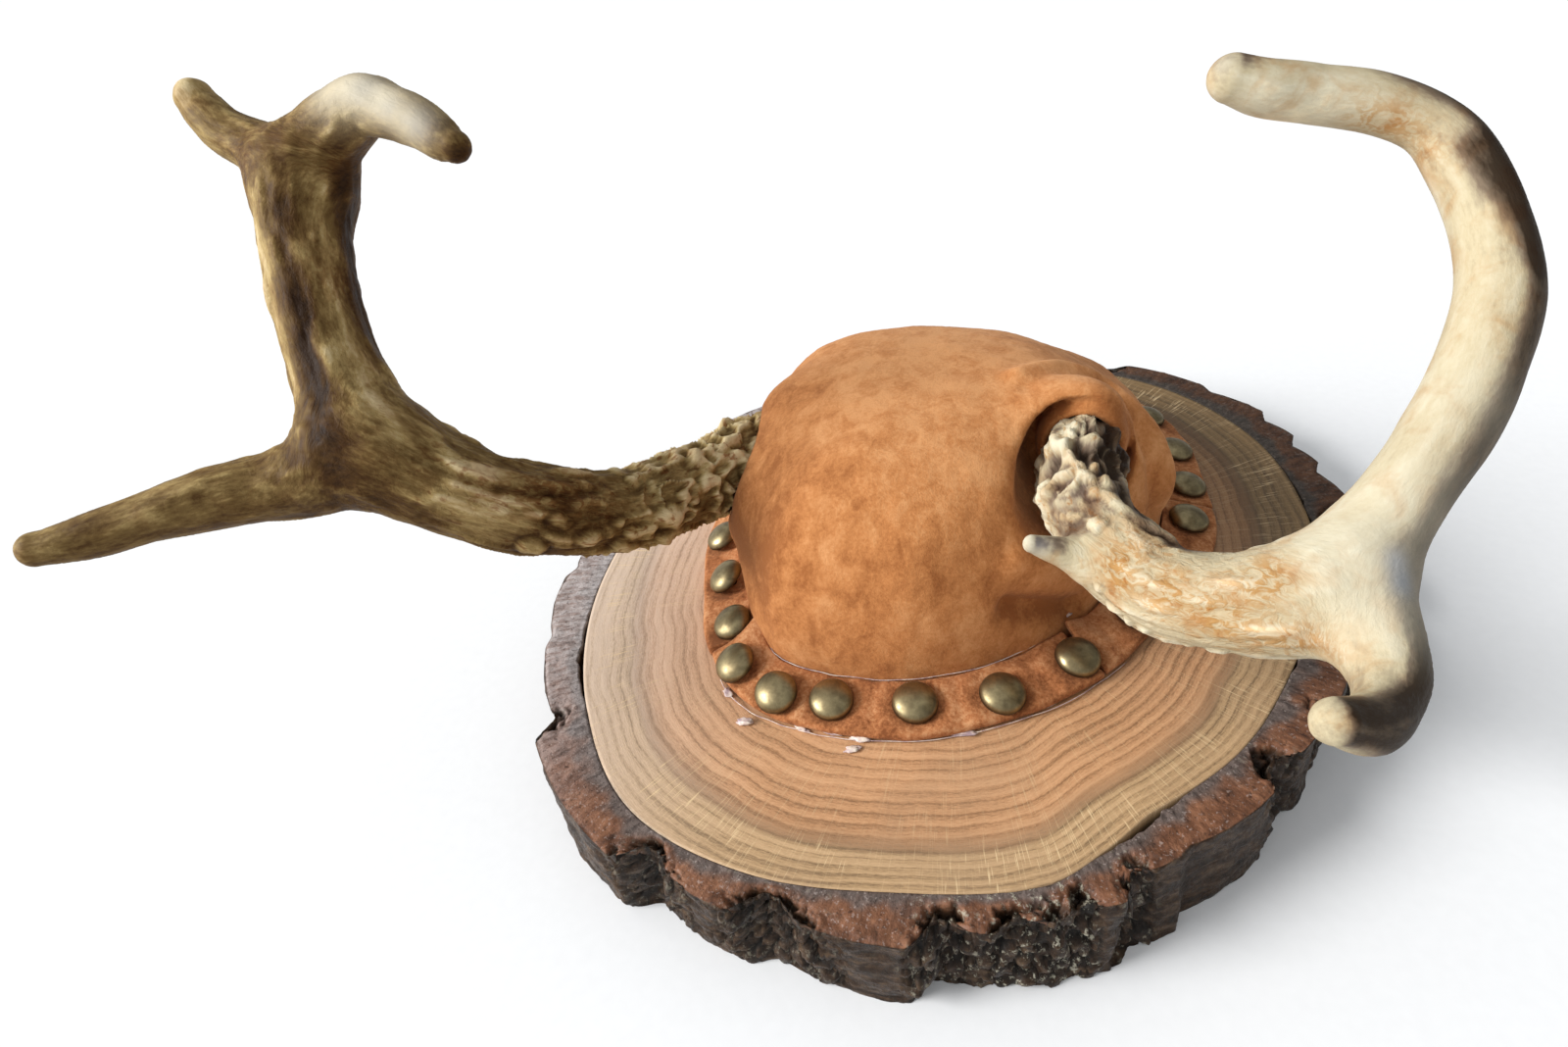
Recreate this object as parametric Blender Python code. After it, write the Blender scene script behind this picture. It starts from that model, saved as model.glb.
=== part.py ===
"""A pair of deer antlers mounted on an oak log slice, with a tacked suede cover between the burrs.

Lengths in this file are millimetres, turned into metres when a mesh is made. The origin is the middle
of the slice's flat back, +Z is up from it, and -Y is the way the antlers reach forward.
"""

import math
import random

import bmesh
import bpy
from mathutils import Matrix, Vector

MM = 0.001
GAP = 0.3

# The log slice. Its wood's outline is (degrees round from +X, radius), and each plate of its bark is
# (first degree, last degree, radius at the top, radius at the bottom), with a fissure before the next one.
SLICE_THICK = 22.0
WOOD_EDGE = [
    (0, 96), (20, 105), (40, 116), (60, 122.5), (80, 120), (100, 114), (120, 110), (140, 108), (160, 105.5),
    (180, 103), (200, 105), (220, 109), (237, 113), (254, 109.5), (270, 104), (288, 101.5), (295, 97),
    (304, 92), (320, 91), (340, 90.5),
]
BARK_PLATES = [
    (3, 15, 111, 112), (19, 30, 121.5, 120), (35, 50, 131, 129), (53, 66, 133, 132), (71, 80, 129.5, 128),
    (84, 97, 125, 126), (100, 108, 121, 121), (113, 127, 118.5, 119.5), (130, 143, 117, 116),
    (147, 156, 115, 116.5), (160, 172, 115.5, 114), (175, 186, 115, 115), (189, 201, 117, 116.5),
    (204, 217.5, 118, 117), (219.5, 240.5, 124, 124), (246, 254.5, 119, 118.5), (262, 273, 115.5, 114.5),
    (278, 281.5, 111, 109), (284.5, 289, 109, 111.5), (291.5, 296, 108, 110), (299, 319, 102, 104),
    (325.5, 333, 100.5, 101), (337, 347, 102, 101), (350.5, 359, 106, 107),
]
BARK_LEVELS = [22.0, 16.0, 8.0, 0.0]
FISSURE_DEPTH = 4.0
FISSURE_FOOT = 2.5
BARK_LEAST = 3.0
BARK_CRACK = 0.7
BARK_LUMP = 1.1
PLATE_CROWN = 0.6

# The suede cover. The outline is the outer edge of the band round its foot, counterclockwise.
BAND_OUTLINE = [
    (72, 12), (73, 38), (69, 66), (55, 90), (28, 100), (-5, 100), (-38, 92), (-60, 74), (-72, 48),
    (-75, 20), (-73, -4), (-67, -24), (-58, -45), (-44, -61), (-22, -67), (3, -65), (26, -54),
    (46, -36), (61, -13),
]
BAND_WIDTH = 14.5
BAND_THICK = 2.0
BAND_RISE = 3.0
COVER_CENTRE = (0, 14)
COVER_PEAK = (-3, 5)
COVER_HEIGHT = 56.0
COVER_POWER = 2.6
COVER_SIDES = 36
COVER_RINGS = [0.0, 0.03, 0.1, 0.2, 0.34, 0.48, 0.62, 0.75, 0.86, 0.95]
HUMP_UPWARD = 40.0
# (x, y, z, rise, spread) of the humps where the suede rides over the bone under each burr
COVER_HUMPS = [
    (42, -2, 72, 3, 18), (-50, 5, 62, 2, 18), (38, 58, 66, -7, 26), (-44, 46, 60, 3.5, 20),
    (57, 10, 48, 6, 16),
]
# Where the band is parted, as shares of the way round it from +X
BAND_JOINTS = [0.035, 0.36, 0.636, 0.885]
BAND_NAMES = ["suede_band_back", "suede_band_left", "suede_band_front", "suede_band_right"]
BAND_PARTING = 0.6
BAND_ROUND = 470.0
BAND_STEPS = 38

# The tacks: their places on the band, and how far each leans outward, in degrees
TACK_HEAD_RADIUS = 5.55
TACK_HEAD_HEIGHT = 3.4
TACK_SIDES = 8
# (share of the radius, share of the height) of the rings of a head
TACK_RINGS = [(1.0, 0.0), (0.93, 0.36), (0.6, 0.8)]
TACK_PIN_SIDE = 2.4
TACK_PIN_LENGTH = 11.0
TACK_HOLE_CLEARANCE = 0.5
HOLE_TAPER = 0.42
HOLE_ABOVE = 3.0
HOLE_BELOW = 1.2
TACKS = [
    (-67, -2, 26), (-60, -21, 32), (-53, -38, 22), (-48, -52, 26), (-35, -60, 24), (-21, -60, 14),
    (-1, -58, 12), (19, -52, 14), (36, -38, 14), (51, -20, 12), (61, 0, 14), (66, 20, 14), (67, 37, 14),
    (65, 56, 12), (58, 75, 14), (41, 88, 12), (20, 93, 12), (-3, 93, 14), (-25, 89, 12), (-45, 79, 12),
    (-59, 62, 14), (-67, 42, 12), (-69, 20, 14),
]

# The antlers: (x, y, z, radius) along the middle of each branch
LEFT_BRANCHES = {
    "beam": [
        (-41, 25, 48, 8.3), (-45, 20, 49.2, 8.6), (-48, 16.5, 50, 9.6), (-52, 11, 51, 11), (-58, 1, 53.5, 11),
        (-66, -16, 57, 10.6), (-75, -33, 61.5, 10.2), (-82, -44, 68, 10), (-89, -53, 75, 10.2),
        (-97, -59, 81.5, 10.4), (-106, -61.5, 88, 11.2), (-115, -63.5, 94, 11.8), (-122, -64, 99, 11.4),
        (-125, -57, 108, 10.6), (-128, -52, 115.5, 10.2), (-132, -47, 122, 9.6), (-136, -40.5, 129, 9.5),
        (-139, -34, 135.5, 10), (-142, -27.5, 141, 10.6), (-145, -23, 145.5, 10.6),
    ],
    "forward_tine": [
        (-119, -63, 98, 10.8), (-129.5, -70.5, 95.5, 8.9), (-136, -75, 95, 7.5), (-143, -79.5, 95.5, 6.6),
        (-149.5, -84, 96, 6), (-157, -89.5, 96, 5.4), (-165, -95, 96, 4.7), (-171, -100, 96, 3.9),
        (-174, -102, 96.5, 3),
    ],
    "back_tine": [
        (-145, -23, 145, 9.6), (-150, -21, 148, 8), (-156, -19, 151.5, 6.2), (-163, -17.5, 155, 4.9),
        (-170, -15.5, 159, 4.4), (-174, -14, 164, 4),
    ],
    "inner_tine": [
        (-144, -23, 146, 10), (-139.5, -18.5, 153, 8.2), (-132, -16.5, 157, 7.1), (-124, -17, 158, 6.5),
        (-116, -19.5, 156, 5.4), (-108, -22.5, 154, 4.6), (-102, -24.5, 151.5, 3.9), (-98, -26, 150, 2.8),
    ],
}
RIGHT_BRANCHES = {
    "beam": [
        (33.5, 10, 63.4, 8.3), (33.8, 4, 64, 8.6), (34, -2, 64.7, 9.6), (34.5, -10, 65.5, 10.4),
        (34, -23, 65, 10), (39, -36, 63, 8.8), (48, -47, 60.5, 9.4), (57.5, -53, 62, 9.6),
        (67.5, -55.5, 64.5, 10.5), (76, -54.5, 67, 11.4), (82, -52.5, 70, 10.6), (86, -47.5, 74, 9.2),
        (91.5, -40, 81, 8.2),
        (98, -30.5, 87, 7.9), (105.3, -19, 94.5, 7.9), (109.5, -5, 105, 8.1), (108.5, 7, 115.5, 7.8),
        (103, 16, 124, 7.2), (97, 21, 129.5, 6.6), (87, 22.5, 134, 5.9), (74.5, 21.5, 137, 5.4),
        (65, 19.5, 139.5, 5.9), (58, 18.5, 141.5, 5.2),
    ],
    "brow_tine": [
        (43, -40, 60.5, 5), (37, -43, 61.5, 4.4), (31.5, -44, 63.8, 3.2), (27, -45, 66, 2.8),
        (24, -46, 67.7, 2.2),
    ],
    "forward_tine": [
        (79, -54, 68.5, 10.4), (83.5, -64, 66.5, 8.4), (84.5, -73.5, 65.7, 6.5), (81.5, -82, 66.6, 5),
        (76.5, -88.5, 70.5, 4), (70.5, -93.5, 75.5, 3.2),
    ],
}
# The burr is the knobby ring round each beam's root: (x, y, z), then the way the beam leaves it
LEFT_BURR = ((-51, 13, 50.7), (-0.58, -0.8, 0.15))
RIGHT_BURR = ((34.2, -6, 65.2), (0.02, -0.99, 0.1))
BURR_RADIUS = 10.6
BURR_KNOBS = 13
BURR_KNOB_RADIUS = 2.5
# (ridges round the branch, turn at each step in radians, rise as a share of the radius)
BRANCH_RIDGES = [(3, 0.11, 0.035), (5, -0.07, 0.025)]
BRANCH_GROOVE = 0.95
PEARL_REACH = 74.0
PEARL_COUNT = 62
# Saw cuts that part each antler at its forks: a point and the way the branch runs through it
LEFT_CUTS = {
    "forward_tine": ((-131, -71.5, 95.5), (-0.81, -0.58, -0.06)),
    "upper_beam": ((-124, -59, 106), (-0.38, 0.5, 0.78)),
    "back_tine": ((-153.5, -20, 150), (-0.86, 0.26, 0.44)),
    "inner_tine": ((-135.5, -17.3, 155.4), (0.84, 0.2, 0.5)),
}
RIGHT_CUTS = {
    "forward_tine": ((84, -65.5, 66.4), (0.18, -0.98, -0.1)),
    "upper_beam": ((88, -45, 76.5), (0.5, 0.63, 0.6)),
}
CUT_HALF_SIDE = 17.0
ANTLER_VOXEL = 1.1
LEFT_TRIANGLES = 2100
RIGHT_TRIANGLES = 1700

# The holes in the cover that the beams come out of: wide round the burr, narrow round the bone behind it
SOCKET_RADIUS = 16.0
SOCKET_FLARE = 17.5
SOCKET_REACH = 42.0
SOCKET_BEHIND = 3.4
BONE_HOLE_RADIUS = 11.0
BONE_HOLE_DEPTH = 24.0

FINISHES = {  # base colour, roughness, metallic
    "wood": ((0.52, 0.35, 0.21), 0.55, 0.0),
    "bark": ((0.10, 0.055, 0.04), 0.6, 0.0),
    "suede": ((0.47, 0.19, 0.05), 0.95, 0.0),
    "antler": ((0.55, 0.44, 0.28), 0.5, 0.0),
    "tack": ((0.32, 0.25, 0.13), 0.35, 1.0),
}


def clear_scene():
    for old in list(bpy.data.objects):
        bpy.data.objects.remove(old, do_unlink=True)


def finish(name):
    material = bpy.data.materials.get(name) or bpy.data.materials.new(name)
    colour, roughness, metallic = FINISHES[name]
    material.use_nodes = True
    shader = material.node_tree.nodes["Principled BSDF"]
    shader.inputs["Base Color"].default_value = (*colour, 1.0)
    shader.inputs["Roughness"].default_value = roughness
    shader.inputs["Metallic"].default_value = metallic
    return material


def metres(point):
    return Vector(point) * MM


def place(name, bm, finish_name, smooth=True):
    """Turn a bmesh into a named object with its own material."""
    bmesh.ops.recalc_face_normals(bm, faces=bm.faces)
    mesh = bpy.data.meshes.new(name)
    bm.to_mesh(mesh)
    bm.free()
    if smooth:
        mesh.shade_smooth()
        mesh.set_sharp_from_angle(angle=math.radians(50))
    mesh.materials.append(finish(finish_name))
    piece = bpy.data.objects.new(name, mesh)
    bpy.context.collection.objects.link(piece)
    return piece


def evaluated(piece):
    """The piece's mesh with its modifiers applied."""
    seen = piece.evaluated_get(bpy.context.evaluated_depsgraph_get())
    return bpy.data.meshes.new_from_object(seen)


def apply_modifiers(piece):
    shaped = evaluated(piece)
    piece.modifiers.clear()
    piece.data = shaped


def cut(piece, cutter):
    """Take the cutter's shape out of the piece, and remove the cutter."""
    boolean = piece.modifiers.new("cut", "BOOLEAN")
    boolean.operation = "DIFFERENCE"
    boolean.solver = "EXACT"
    boolean.object = cutter
    apply_modifiers(piece)
    bpy.data.objects.remove(cutter, do_unlink=True)


def spline(points, share):
    """A closed curve's point through the listed ones, at a share of the way round."""
    count = len(points)
    at = (share % 1.0) * count
    first = int(at)
    t = at - first
    a, b, c, d = (points[(first + k) % count] for k in (-1, 0, 1, 2))
    return tuple(
        0.5 * (2 * q + (r - p) * t + (2 * p - 5 * q + 4 * r - s) * t**2 + (3 * q - p - 3 * r + s) * t**3)
        for p, q, r, s in zip(a, b, c, d)
    )


def edge_radius(edge, angle):
    """The radius of an outline of (degrees, radius) points at an angle in radians."""
    degrees = math.degrees(angle) % 360.0
    count = len(edge)
    after = next((k for k in range(count) if edge[k][0] > degrees), count)
    four = [edge[(after + k) % count][1] for k in (-2, -1, 0, 1)]
    start = edge[after - 1][0]
    end = edge[after % count][0] + (360.0 if after == count else 0.0)
    return blend_four(four, (degrees - start) / (end - start))


def band_point(share, inset=0.0):
    """A point on the band's outline, moved inward by the inset."""
    x, y = spline(BAND_OUTLINE, share)
    ahead = spline(BAND_OUTLINE, share + 0.004)
    behind = spline(BAND_OUTLINE, share - 0.004)
    along = Vector((ahead[0] - behind[0], ahead[1] - behind[1])).normalized()
    return Vector((x - along.y * inset, y + along.x * inset))


# The log slice


def wood_slice():
    bm = bmesh.new()
    rings = []
    for z in (0.0, SLICE_THICK):
        rings.append(wood_ring(bm, 0.0, z))
    join_rings(bm, rings)
    bm.faces.new(rings[0])
    bm.faces.new(rings[1])
    return place("wood_slice", bm, "wood")


def wood_ring(bm, out, z):
    """The wood's outline moved out, with a point at each column of the bark, so the two never meet."""
    ring = []
    for degrees, _, _ in bark_columns():
        angle = math.radians(degrees)
        ring.append(bm.verts.new(metres(around(edge_radius(WOOD_EDGE, angle) + out, angle, z))))
    return ring


def join_rings(bm, rings, closed=False):
    """Faces between rings of the same length; a closed set joins the last ring to the first."""
    pairs = list(zip(rings, rings[1:]))
    if closed:
        pairs.append((rings[-1], rings[0]))
    for lower, upper in pairs:
        count = len(lower)
        for k in range(count):
            bm.faces.new((lower[k], lower[(k + 1) % count], upper[(k + 1) % count], upper[k]))


def around(radius, angle, z):
    return (radius * math.cos(angle), radius * math.sin(angle), z)


def bark_columns():
    """The bark's columns: an angle in degrees, and the bark's radius there at the top and at the bottom."""
    columns = []
    for k, (first, last, top, bottom) in enumerate(BARK_PLATES):
        following = BARK_PLATES[(k + 1) % len(BARK_PLATES)]
        start = following[0] + (360 if following[0] < last else 0)
        edge_top = top - PLATE_CROWN
        edge_bottom = bottom - PLATE_CROWN
        columns.append((first, edge_top, edge_bottom))
        columns.append(((first + last) / 2, top, bottom))
        columns.append((last, edge_top, edge_bottom))
        floor_top = min(top, following[2]) - FISSURE_DEPTH
        floor_bottom = min(bottom, following[3]) - FISSURE_FOOT
        for share in (0.3, 0.7):
            columns.append((last + (start - last) * share, floor_top, floor_bottom))
    return columns


def bark_ring():
    bm = bmesh.new()
    draw = random.Random(11)
    rings = []
    columns = bark_columns()
    for level in BARK_LEVELS:
        ring = []
        down = 1.0 - level / SLICE_THICK
        for degrees, top, bottom in columns:
            angle = math.radians(degrees)
            least = edge_radius(WOOD_EDGE, angle) + BARK_CRACK + BARK_LEAST
            radius = top + (bottom - top) * down + draw.uniform(-BARK_LUMP, BARK_LUMP) * min(1.0, down * 4)
            ring.append(bm.verts.new(metres(around(max(radius, least), angle, level))))
        rings.append(ring)
    for level in (0.0, SLICE_THICK):
        rings.append(wood_ring(bm, BARK_CRACK, level))
    join_rings(bm, rings, closed=True)
    return place("bark_ring", bm, "bark")


# The suede cover and its bands


def cover_point(share, climb):
    """A point of the cover: share of the way round, and climb from 0 at the foot to 1 at the peak."""
    foot = band_point(share, BAND_WIDTH)
    scale = math.cos(climb * math.pi / 2) ** (2 / COVER_POWER)
    rise = math.sin(climb * math.pi / 2) ** (2 / COVER_POWER)
    middle = Vector(COVER_CENTRE).lerp(Vector(COVER_PEAK), rise**2)
    flat = middle + (foot - Vector(COVER_CENTRE)) * scale
    point = Vector((flat.x, flat.y, SLICE_THICK + GAP + rise * COVER_HEIGHT))
    outward = Vector((flat.x - middle.x, flat.y - middle.y, rise * HUMP_UPWARD)).normalized()
    for x, y, z, height, spread in COVER_HUMPS:
        away = (point - Vector((x, y, z))).length
        point += outward * height * math.exp(-((away / spread) ** 2)) * min(1.0, climb * 3)
    return point


def suede_cover():
    bm = bmesh.new()
    rings = []
    for climb in COVER_RINGS:
        rings.append(
            [bm.verts.new(cover_point(side / COVER_SIDES, climb) * MM) for side in range(COVER_SIDES)]
        )
    join_rings(bm, rings)
    bm.faces.new(rings[0])
    peak = bm.verts.new(cover_point(0.0, 1.0) * MM)
    for k in range(COVER_SIDES):
        bm.faces.new((rings[-1][k], rings[-1][(k + 1) % COVER_SIDES], peak))
    cover = place("suede_cover", bm, "suede")
    for place_of_burr, way in (LEFT_BURR, RIGHT_BURR):
        burr = Vector(place_of_burr)
        out = Vector(way).normalized()
        mouth = burr + out * SOCKET_REACH
        cut(cover, rod("socket", burr - out * SOCKET_BEHIND, mouth, SOCKET_RADIUS, SOCKET_FLARE, 18))
        end = burr - out * BONE_HOLE_DEPTH
        cut(cover, rod("bone_hole", burr, end, BONE_HOLE_RADIUS, BONE_HOLE_RADIUS, 12))
    return cover


def rod(name, start, end, start_radius, end_radius, sides):
    """A straight round solid between two points, for cutting."""
    bm = bmesh.new()
    axis = end - start
    turn = axis.to_track_quat("Z", "Y").to_matrix().to_4x4()
    bmesh.ops.create_cone(
        bm,
        cap_ends=True,
        segments=sides,
        radius1=start_radius * MM,
        radius2=end_radius * MM,
        depth=axis.length * MM,
        matrix=Matrix.Translation((start + end) / 2 * MM) @ turn,
    )
    cutter = place(name, bm, "suede")
    cutter.hide_render = True
    cutter.display_type = "WIRE"
    return cutter


def band_strip(name, first, last):
    """One suede strip along the foot of the cover, from one share of the way round to the next."""
    bm = bmesh.new()
    span = (last - first) % 1.0
    steps = max(4, round(span * BAND_STEPS))
    sections = []
    for step in range(steps + 1):
        share = first + span * step / steps
        outer = band_point(share, 0.0)
        inner = band_point(share, BAND_WIDTH - GAP)
        low = SLICE_THICK + GAP
        corners = [
            (outer.x, outer.y, low),
            (outer.x, outer.y, low + BAND_THICK),
            (inner.x, inner.y, low + BAND_THICK + BAND_RISE),
            (inner.x, inner.y, low),
        ]
        sections.append([bm.verts.new(metres(corner)) for corner in corners])
    join_rings(bm, sections)
    bm.faces.new(sections[0])
    bm.faces.new(sections[-1])
    return place(name, bm, "suede")


def suede_bands():
    strips = []
    parting = BAND_PARTING / BAND_ROUND
    for k, name in enumerate(BAND_NAMES):
        first = BAND_JOINTS[k] + parting
        last = BAND_JOINTS[(k + 1) % len(BAND_JOINTS)] - parting
        strips.append(band_strip(name, first, last))
    return strips


# The tacks


def tack_frame(x, y, lean):
    """Where a tack's head meets the band, and the way it points, up and outward."""
    share = min((k / 400 for k in range(400)), key=lambda s: (band_point(s) - Vector((x, y))).length)
    edge = band_point(share)
    across = (Vector((x, y)) - edge).length / BAND_WIDTH
    height = SLICE_THICK + GAP + BAND_THICK + BAND_RISE * across
    outward = (band_point(share) - band_point(share, 5.0)).normalized()
    angle = math.radians(lean)
    way = Vector((outward.x * math.sin(angle), outward.y * math.sin(angle), math.cos(angle)))
    lift = TACK_HEAD_RADIUS * (math.sin(angle) - BAND_RISE / BAND_WIDTH * math.cos(angle))
    return Vector((x, y, height + GAP + max(0.0, lift) + 0.1)), way


def turned(start, way):
    return Matrix.Translation(start * MM) @ way.to_track_quat("Z", "Y").to_matrix().to_4x4()


def square(bm, half, z):
    corners = [(half, half, z), (-half, half, z), (-half, -half, z), (half, -half, z)]
    return [bm.verts.new(metres(corner)) for corner in corners]


def tack(name, x, y, lean):
    bm = bmesh.new()
    rings = []
    for share, rise in TACK_RINGS:
        ring = []
        for side in range(TACK_SIDES):
            angle = math.tau * (side + 0.5) / TACK_SIDES
            radius = TACK_HEAD_RADIUS * share
            height = TACK_HEAD_HEIGHT * rise
            ring.append(bm.verts.new(metres((radius * math.cos(angle), radius * math.sin(angle), height))))
        rings.append(ring)
    join_rings(bm, rings)
    top = bm.verts.new(metres((0, 0, TACK_HEAD_HEIGHT)))
    for k in range(TACK_SIDES):
        bm.faces.new((rings[-1][k], rings[-1][(k + 1) % TACK_SIDES], top))
    half = TACK_PIN_SIDE / 2
    root = square(bm, half, 0.0)
    point = bm.verts.new(metres((0, 0, -TACK_PIN_LENGTH)))
    rim = rings[0]
    for k in range(4):
        a, b, c = rim[2 * k], rim[2 * k + 1], rim[(2 * k + 2) % TACK_SIDES]
        bm.faces.new((root[k], b, a))
        bm.faces.new((root[k], root[(k + 1) % 4], c, b))
        bm.faces.new((root[k], root[(k + 1) % 4], point))
    start, way = tack_frame(x, y, lean)
    bm.transform(turned(start, way))
    return place(name, bm, "tack")


def pin_holes():
    """One cutter with a tapered square hole for every tack's pin."""
    bm = bmesh.new()
    for x, y, lean in TACKS:
        start, way = tack_frame(x, y, lean)
        half = TACK_PIN_SIDE / 2 + TACK_HOLE_CLEARANCE
        above = HOLE_ABOVE
        deep = TACK_PIN_LENGTH + HOLE_BELOW
        one = bmesh.new()
        top = square(one, half, above)
        low = square(one, half * HOLE_TAPER, -deep)
        join_rings(one, [low, top])
        one.faces.new(low)
        one.faces.new(top)
        one.transform(turned(start, way))
        mesh = bpy.data.meshes.new("hole")
        one.to_mesh(mesh)
        one.free()
        bm.from_mesh(mesh)
        bpy.data.meshes.remove(mesh)
    cutter = place("pin_holes", bm, "wood", smooth=False)
    cutter.hide_render = True
    cutter.display_type = "WIRE"
    return cutter


# The antlers


def curve_through(stations, step):
    """Points and radii along a smooth curve through the stations, a step apart."""
    points = [Vector(s[:3]) for s in stations]
    radii = [s[3] for s in stations]
    ends = [2 * points[0] - points[1]] + points + [2 * points[-1] - points[-2]]
    sizes = [radii[0]] + radii + [radii[-1]]
    found = []
    for k in range(len(points) - 1):
        pieces = max(1, round((points[k + 1] - points[k]).length / step))
        for n in range(pieces):
            t = n / pieces
            found.append((blend_four(ends[k : k + 4], t), blend_four(sizes[k : k + 4], t)))
    found.append((points[-1], radii[-1]))
    return found


def blend_four(four, t):
    p, q, r, s = four
    return 0.5 * (2 * q + (r - p) * t + (2 * p - 5 * q + 4 * r - s) * t**2 + (3 * q - p - 3 * r + s) * t**3)


def frames_along(path):
    """A point, its radius and two directions across the curve, turning no more than the curve does."""
    frames = []
    across = None
    for k, (point, radius) in enumerate(path):
        ahead = path[min(k + 1, len(path) - 1)][0]
        behind = path[max(k - 1, 0)][0]
        along = (ahead - behind).normalized()
        if across is None:
            across = along.orthogonal()
        across = (across - along * across.dot(along)).normalized()
        frames.append((point, radius, across, along.cross(across)))
    return frames


def add_branch(bm, stations, step=4.0, sides=18):
    """A closed tapering branch with low ridges along it and round ends."""
    frames = frames_along(curve_through(stations, step))
    rings = []
    for k, (point, radius, across, up) in enumerate(frames):
        ring = []
        for side in range(sides):
            angle = math.tau * side / sides
            size = BRANCH_GROOVE
            for count, turn, rise in BRANCH_RIDGES:
                size += rise * math.cos(count * angle + turn * k)
            offset = across * math.cos(angle) + up * math.sin(angle)
            ring.append(bm.verts.new((point + offset * radius * size) * MM))
        rings.append(ring)
    join_rings(bm, rings)
    for frame, ring, sign in ((frames[0], rings[0], -1), (frames[-1], rings[-1], 1)):
        point, radius, across, up = frame
        along = across.cross(up) * sign
        cap = [
            bm.verts.new((point + along * radius * 0.62 + (v.co / MM - point) * 0.72) * MM) for v in ring
        ]
        tip = bm.verts.new((point + along * radius * 0.92) * MM)
        join_rings(bm, [ring, cap])
        for side in range(sides):
            bm.faces.new((cap[side], cap[(side + 1) % sides], tip))


def add_knob(bm, centre, radius, way, stretch):
    """A small round knob, stretched along a direction."""
    turn = way.to_track_quat("Z", "Y").to_matrix().to_4x4()
    size = Matrix.Diagonal((radius, radius, radius * stretch, 1.0))
    bmesh.ops.create_icosphere(
        bm, subdivisions=1, radius=MM, matrix=Matrix.Translation(centre * MM) @ turn @ size
    )


def add_burr(bm, burr, draw):
    centre = Vector(burr[0])
    out = Vector(burr[1]).normalized()
    across = out.orthogonal().normalized()
    up = out.cross(across)
    for k in range(BURR_KNOBS):
        angle = math.tau * (k + draw.uniform(-0.25, 0.25)) / BURR_KNOBS
        rim = centre + (across * math.cos(angle) + up * math.sin(angle)) * BURR_RADIUS
        add_knob(bm, rim + out * draw.uniform(-1, 1), BURR_KNOB_RADIUS * draw.uniform(0.8, 1.15), out, 1.1)


def add_pearls(bm, stations, draw):
    """Round pearls in rough rows over the lower beam, larger and closer near the burr."""
    frames = frames_along(curve_through(stations[3:], 1.0))
    for _ in range(PEARL_COUNT):
        k = int(PEARL_REACH * draw.random() ** 1.5)
        point, radius, across, up = frames[min(k + 3, len(frames) - 1)]
        angle = draw.uniform(0, math.tau)
        offset = across * math.cos(angle) + up * math.sin(angle)
        size = draw.uniform(1.7, 2.6) * (1.0 - 0.3 * k / PEARL_REACH)
        add_knob(bm, point + offset * (radius - 0.8), size, across.cross(up), draw.uniform(1.3, 2.4))


def shaped_antler(name, branches, burr, seed, triangles):
    """All branches of one antler grown into a single skin, then simplified."""
    bm = bmesh.new()
    draw = random.Random(seed)
    for stations in branches.values():
        add_branch(bm, stations)
    add_burr(bm, burr, draw)
    add_pearls(bm, branches["beam"], draw)
    antler = place(name, bm, "antler")
    skin = antler.modifiers.new("skin", "REMESH")
    skin.mode = "VOXEL"
    skin.voxel_size = ANTLER_VOXEL * MM
    apply_modifiers(antler)
    antler.data.calc_loop_triangles()
    simpler = antler.modifiers.new("simpler", "DECIMATE")
    simpler.ratio = triangles / len(antler.data.loop_triangles)
    simpler.use_collapse_triangulate = True
    apply_modifiers(antler)
    return antler


def saw(point, way):
    """A thin plate across a branch, as wide as the gap it leaves."""
    bm = bmesh.new()
    turn = Vector(way).to_track_quat("Z", "Y").to_matrix().to_4x4()
    size = Matrix.Diagonal((CUT_HALF_SIDE * 2, CUT_HALF_SIDE * 2, GAP, 1.0))
    bmesh.ops.create_cube(bm, size=MM, matrix=Matrix.Translation(metres(point)) @ turn @ size)
    plate = place("saw", bm, "antler", smooth=False)
    plate.hide_render = True
    plate.display_type = "WIRE"
    return plate


def islands(mesh):
    """The mesh's separate bodies, each as a list of face indices."""
    bm = bmesh.new()
    bm.from_mesh(mesh)
    bm.faces.ensure_lookup_table()
    seen = set()
    groups = []
    for face in bm.faces:
        if face.index in seen:
            continue
        group = []
        waiting = [face]
        seen.add(face.index)
        while waiting:
            current = waiting.pop()
            group.append(current.index)
            for edge in current.edges:
                for other in edge.link_faces:
                    if other.index not in seen:
                        seen.add(other.index)
                        waiting.append(other)
        groups.append(group)
    bm.free()
    return groups


def part_at_forks(antler, side, cuts, branch_ends):
    """Saw the antler at its forks and give each branch its own object."""
    for point, way in cuts.values():
        cut(antler, saw(point, way))
    groups = islands(antler.data)
    for name, end in branch_ends.items():
        target = metres(end)
        whole = bmesh.new()
        whole.from_mesh(antler.data)
        whole.faces.ensure_lookup_table()
        nearest = min(
            groups, key=lambda g: min((whole.faces[i].calc_center_median() - target).length for i in g)
        )
        keep = set(nearest)
        bmesh.ops.delete(whole, geom=[f for f in whole.faces if f.index not in keep], context="FACES")
        place(f"{side}_{name}", whole, "antler")
    bpy.data.objects.remove(antler, do_unlink=True)


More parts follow.
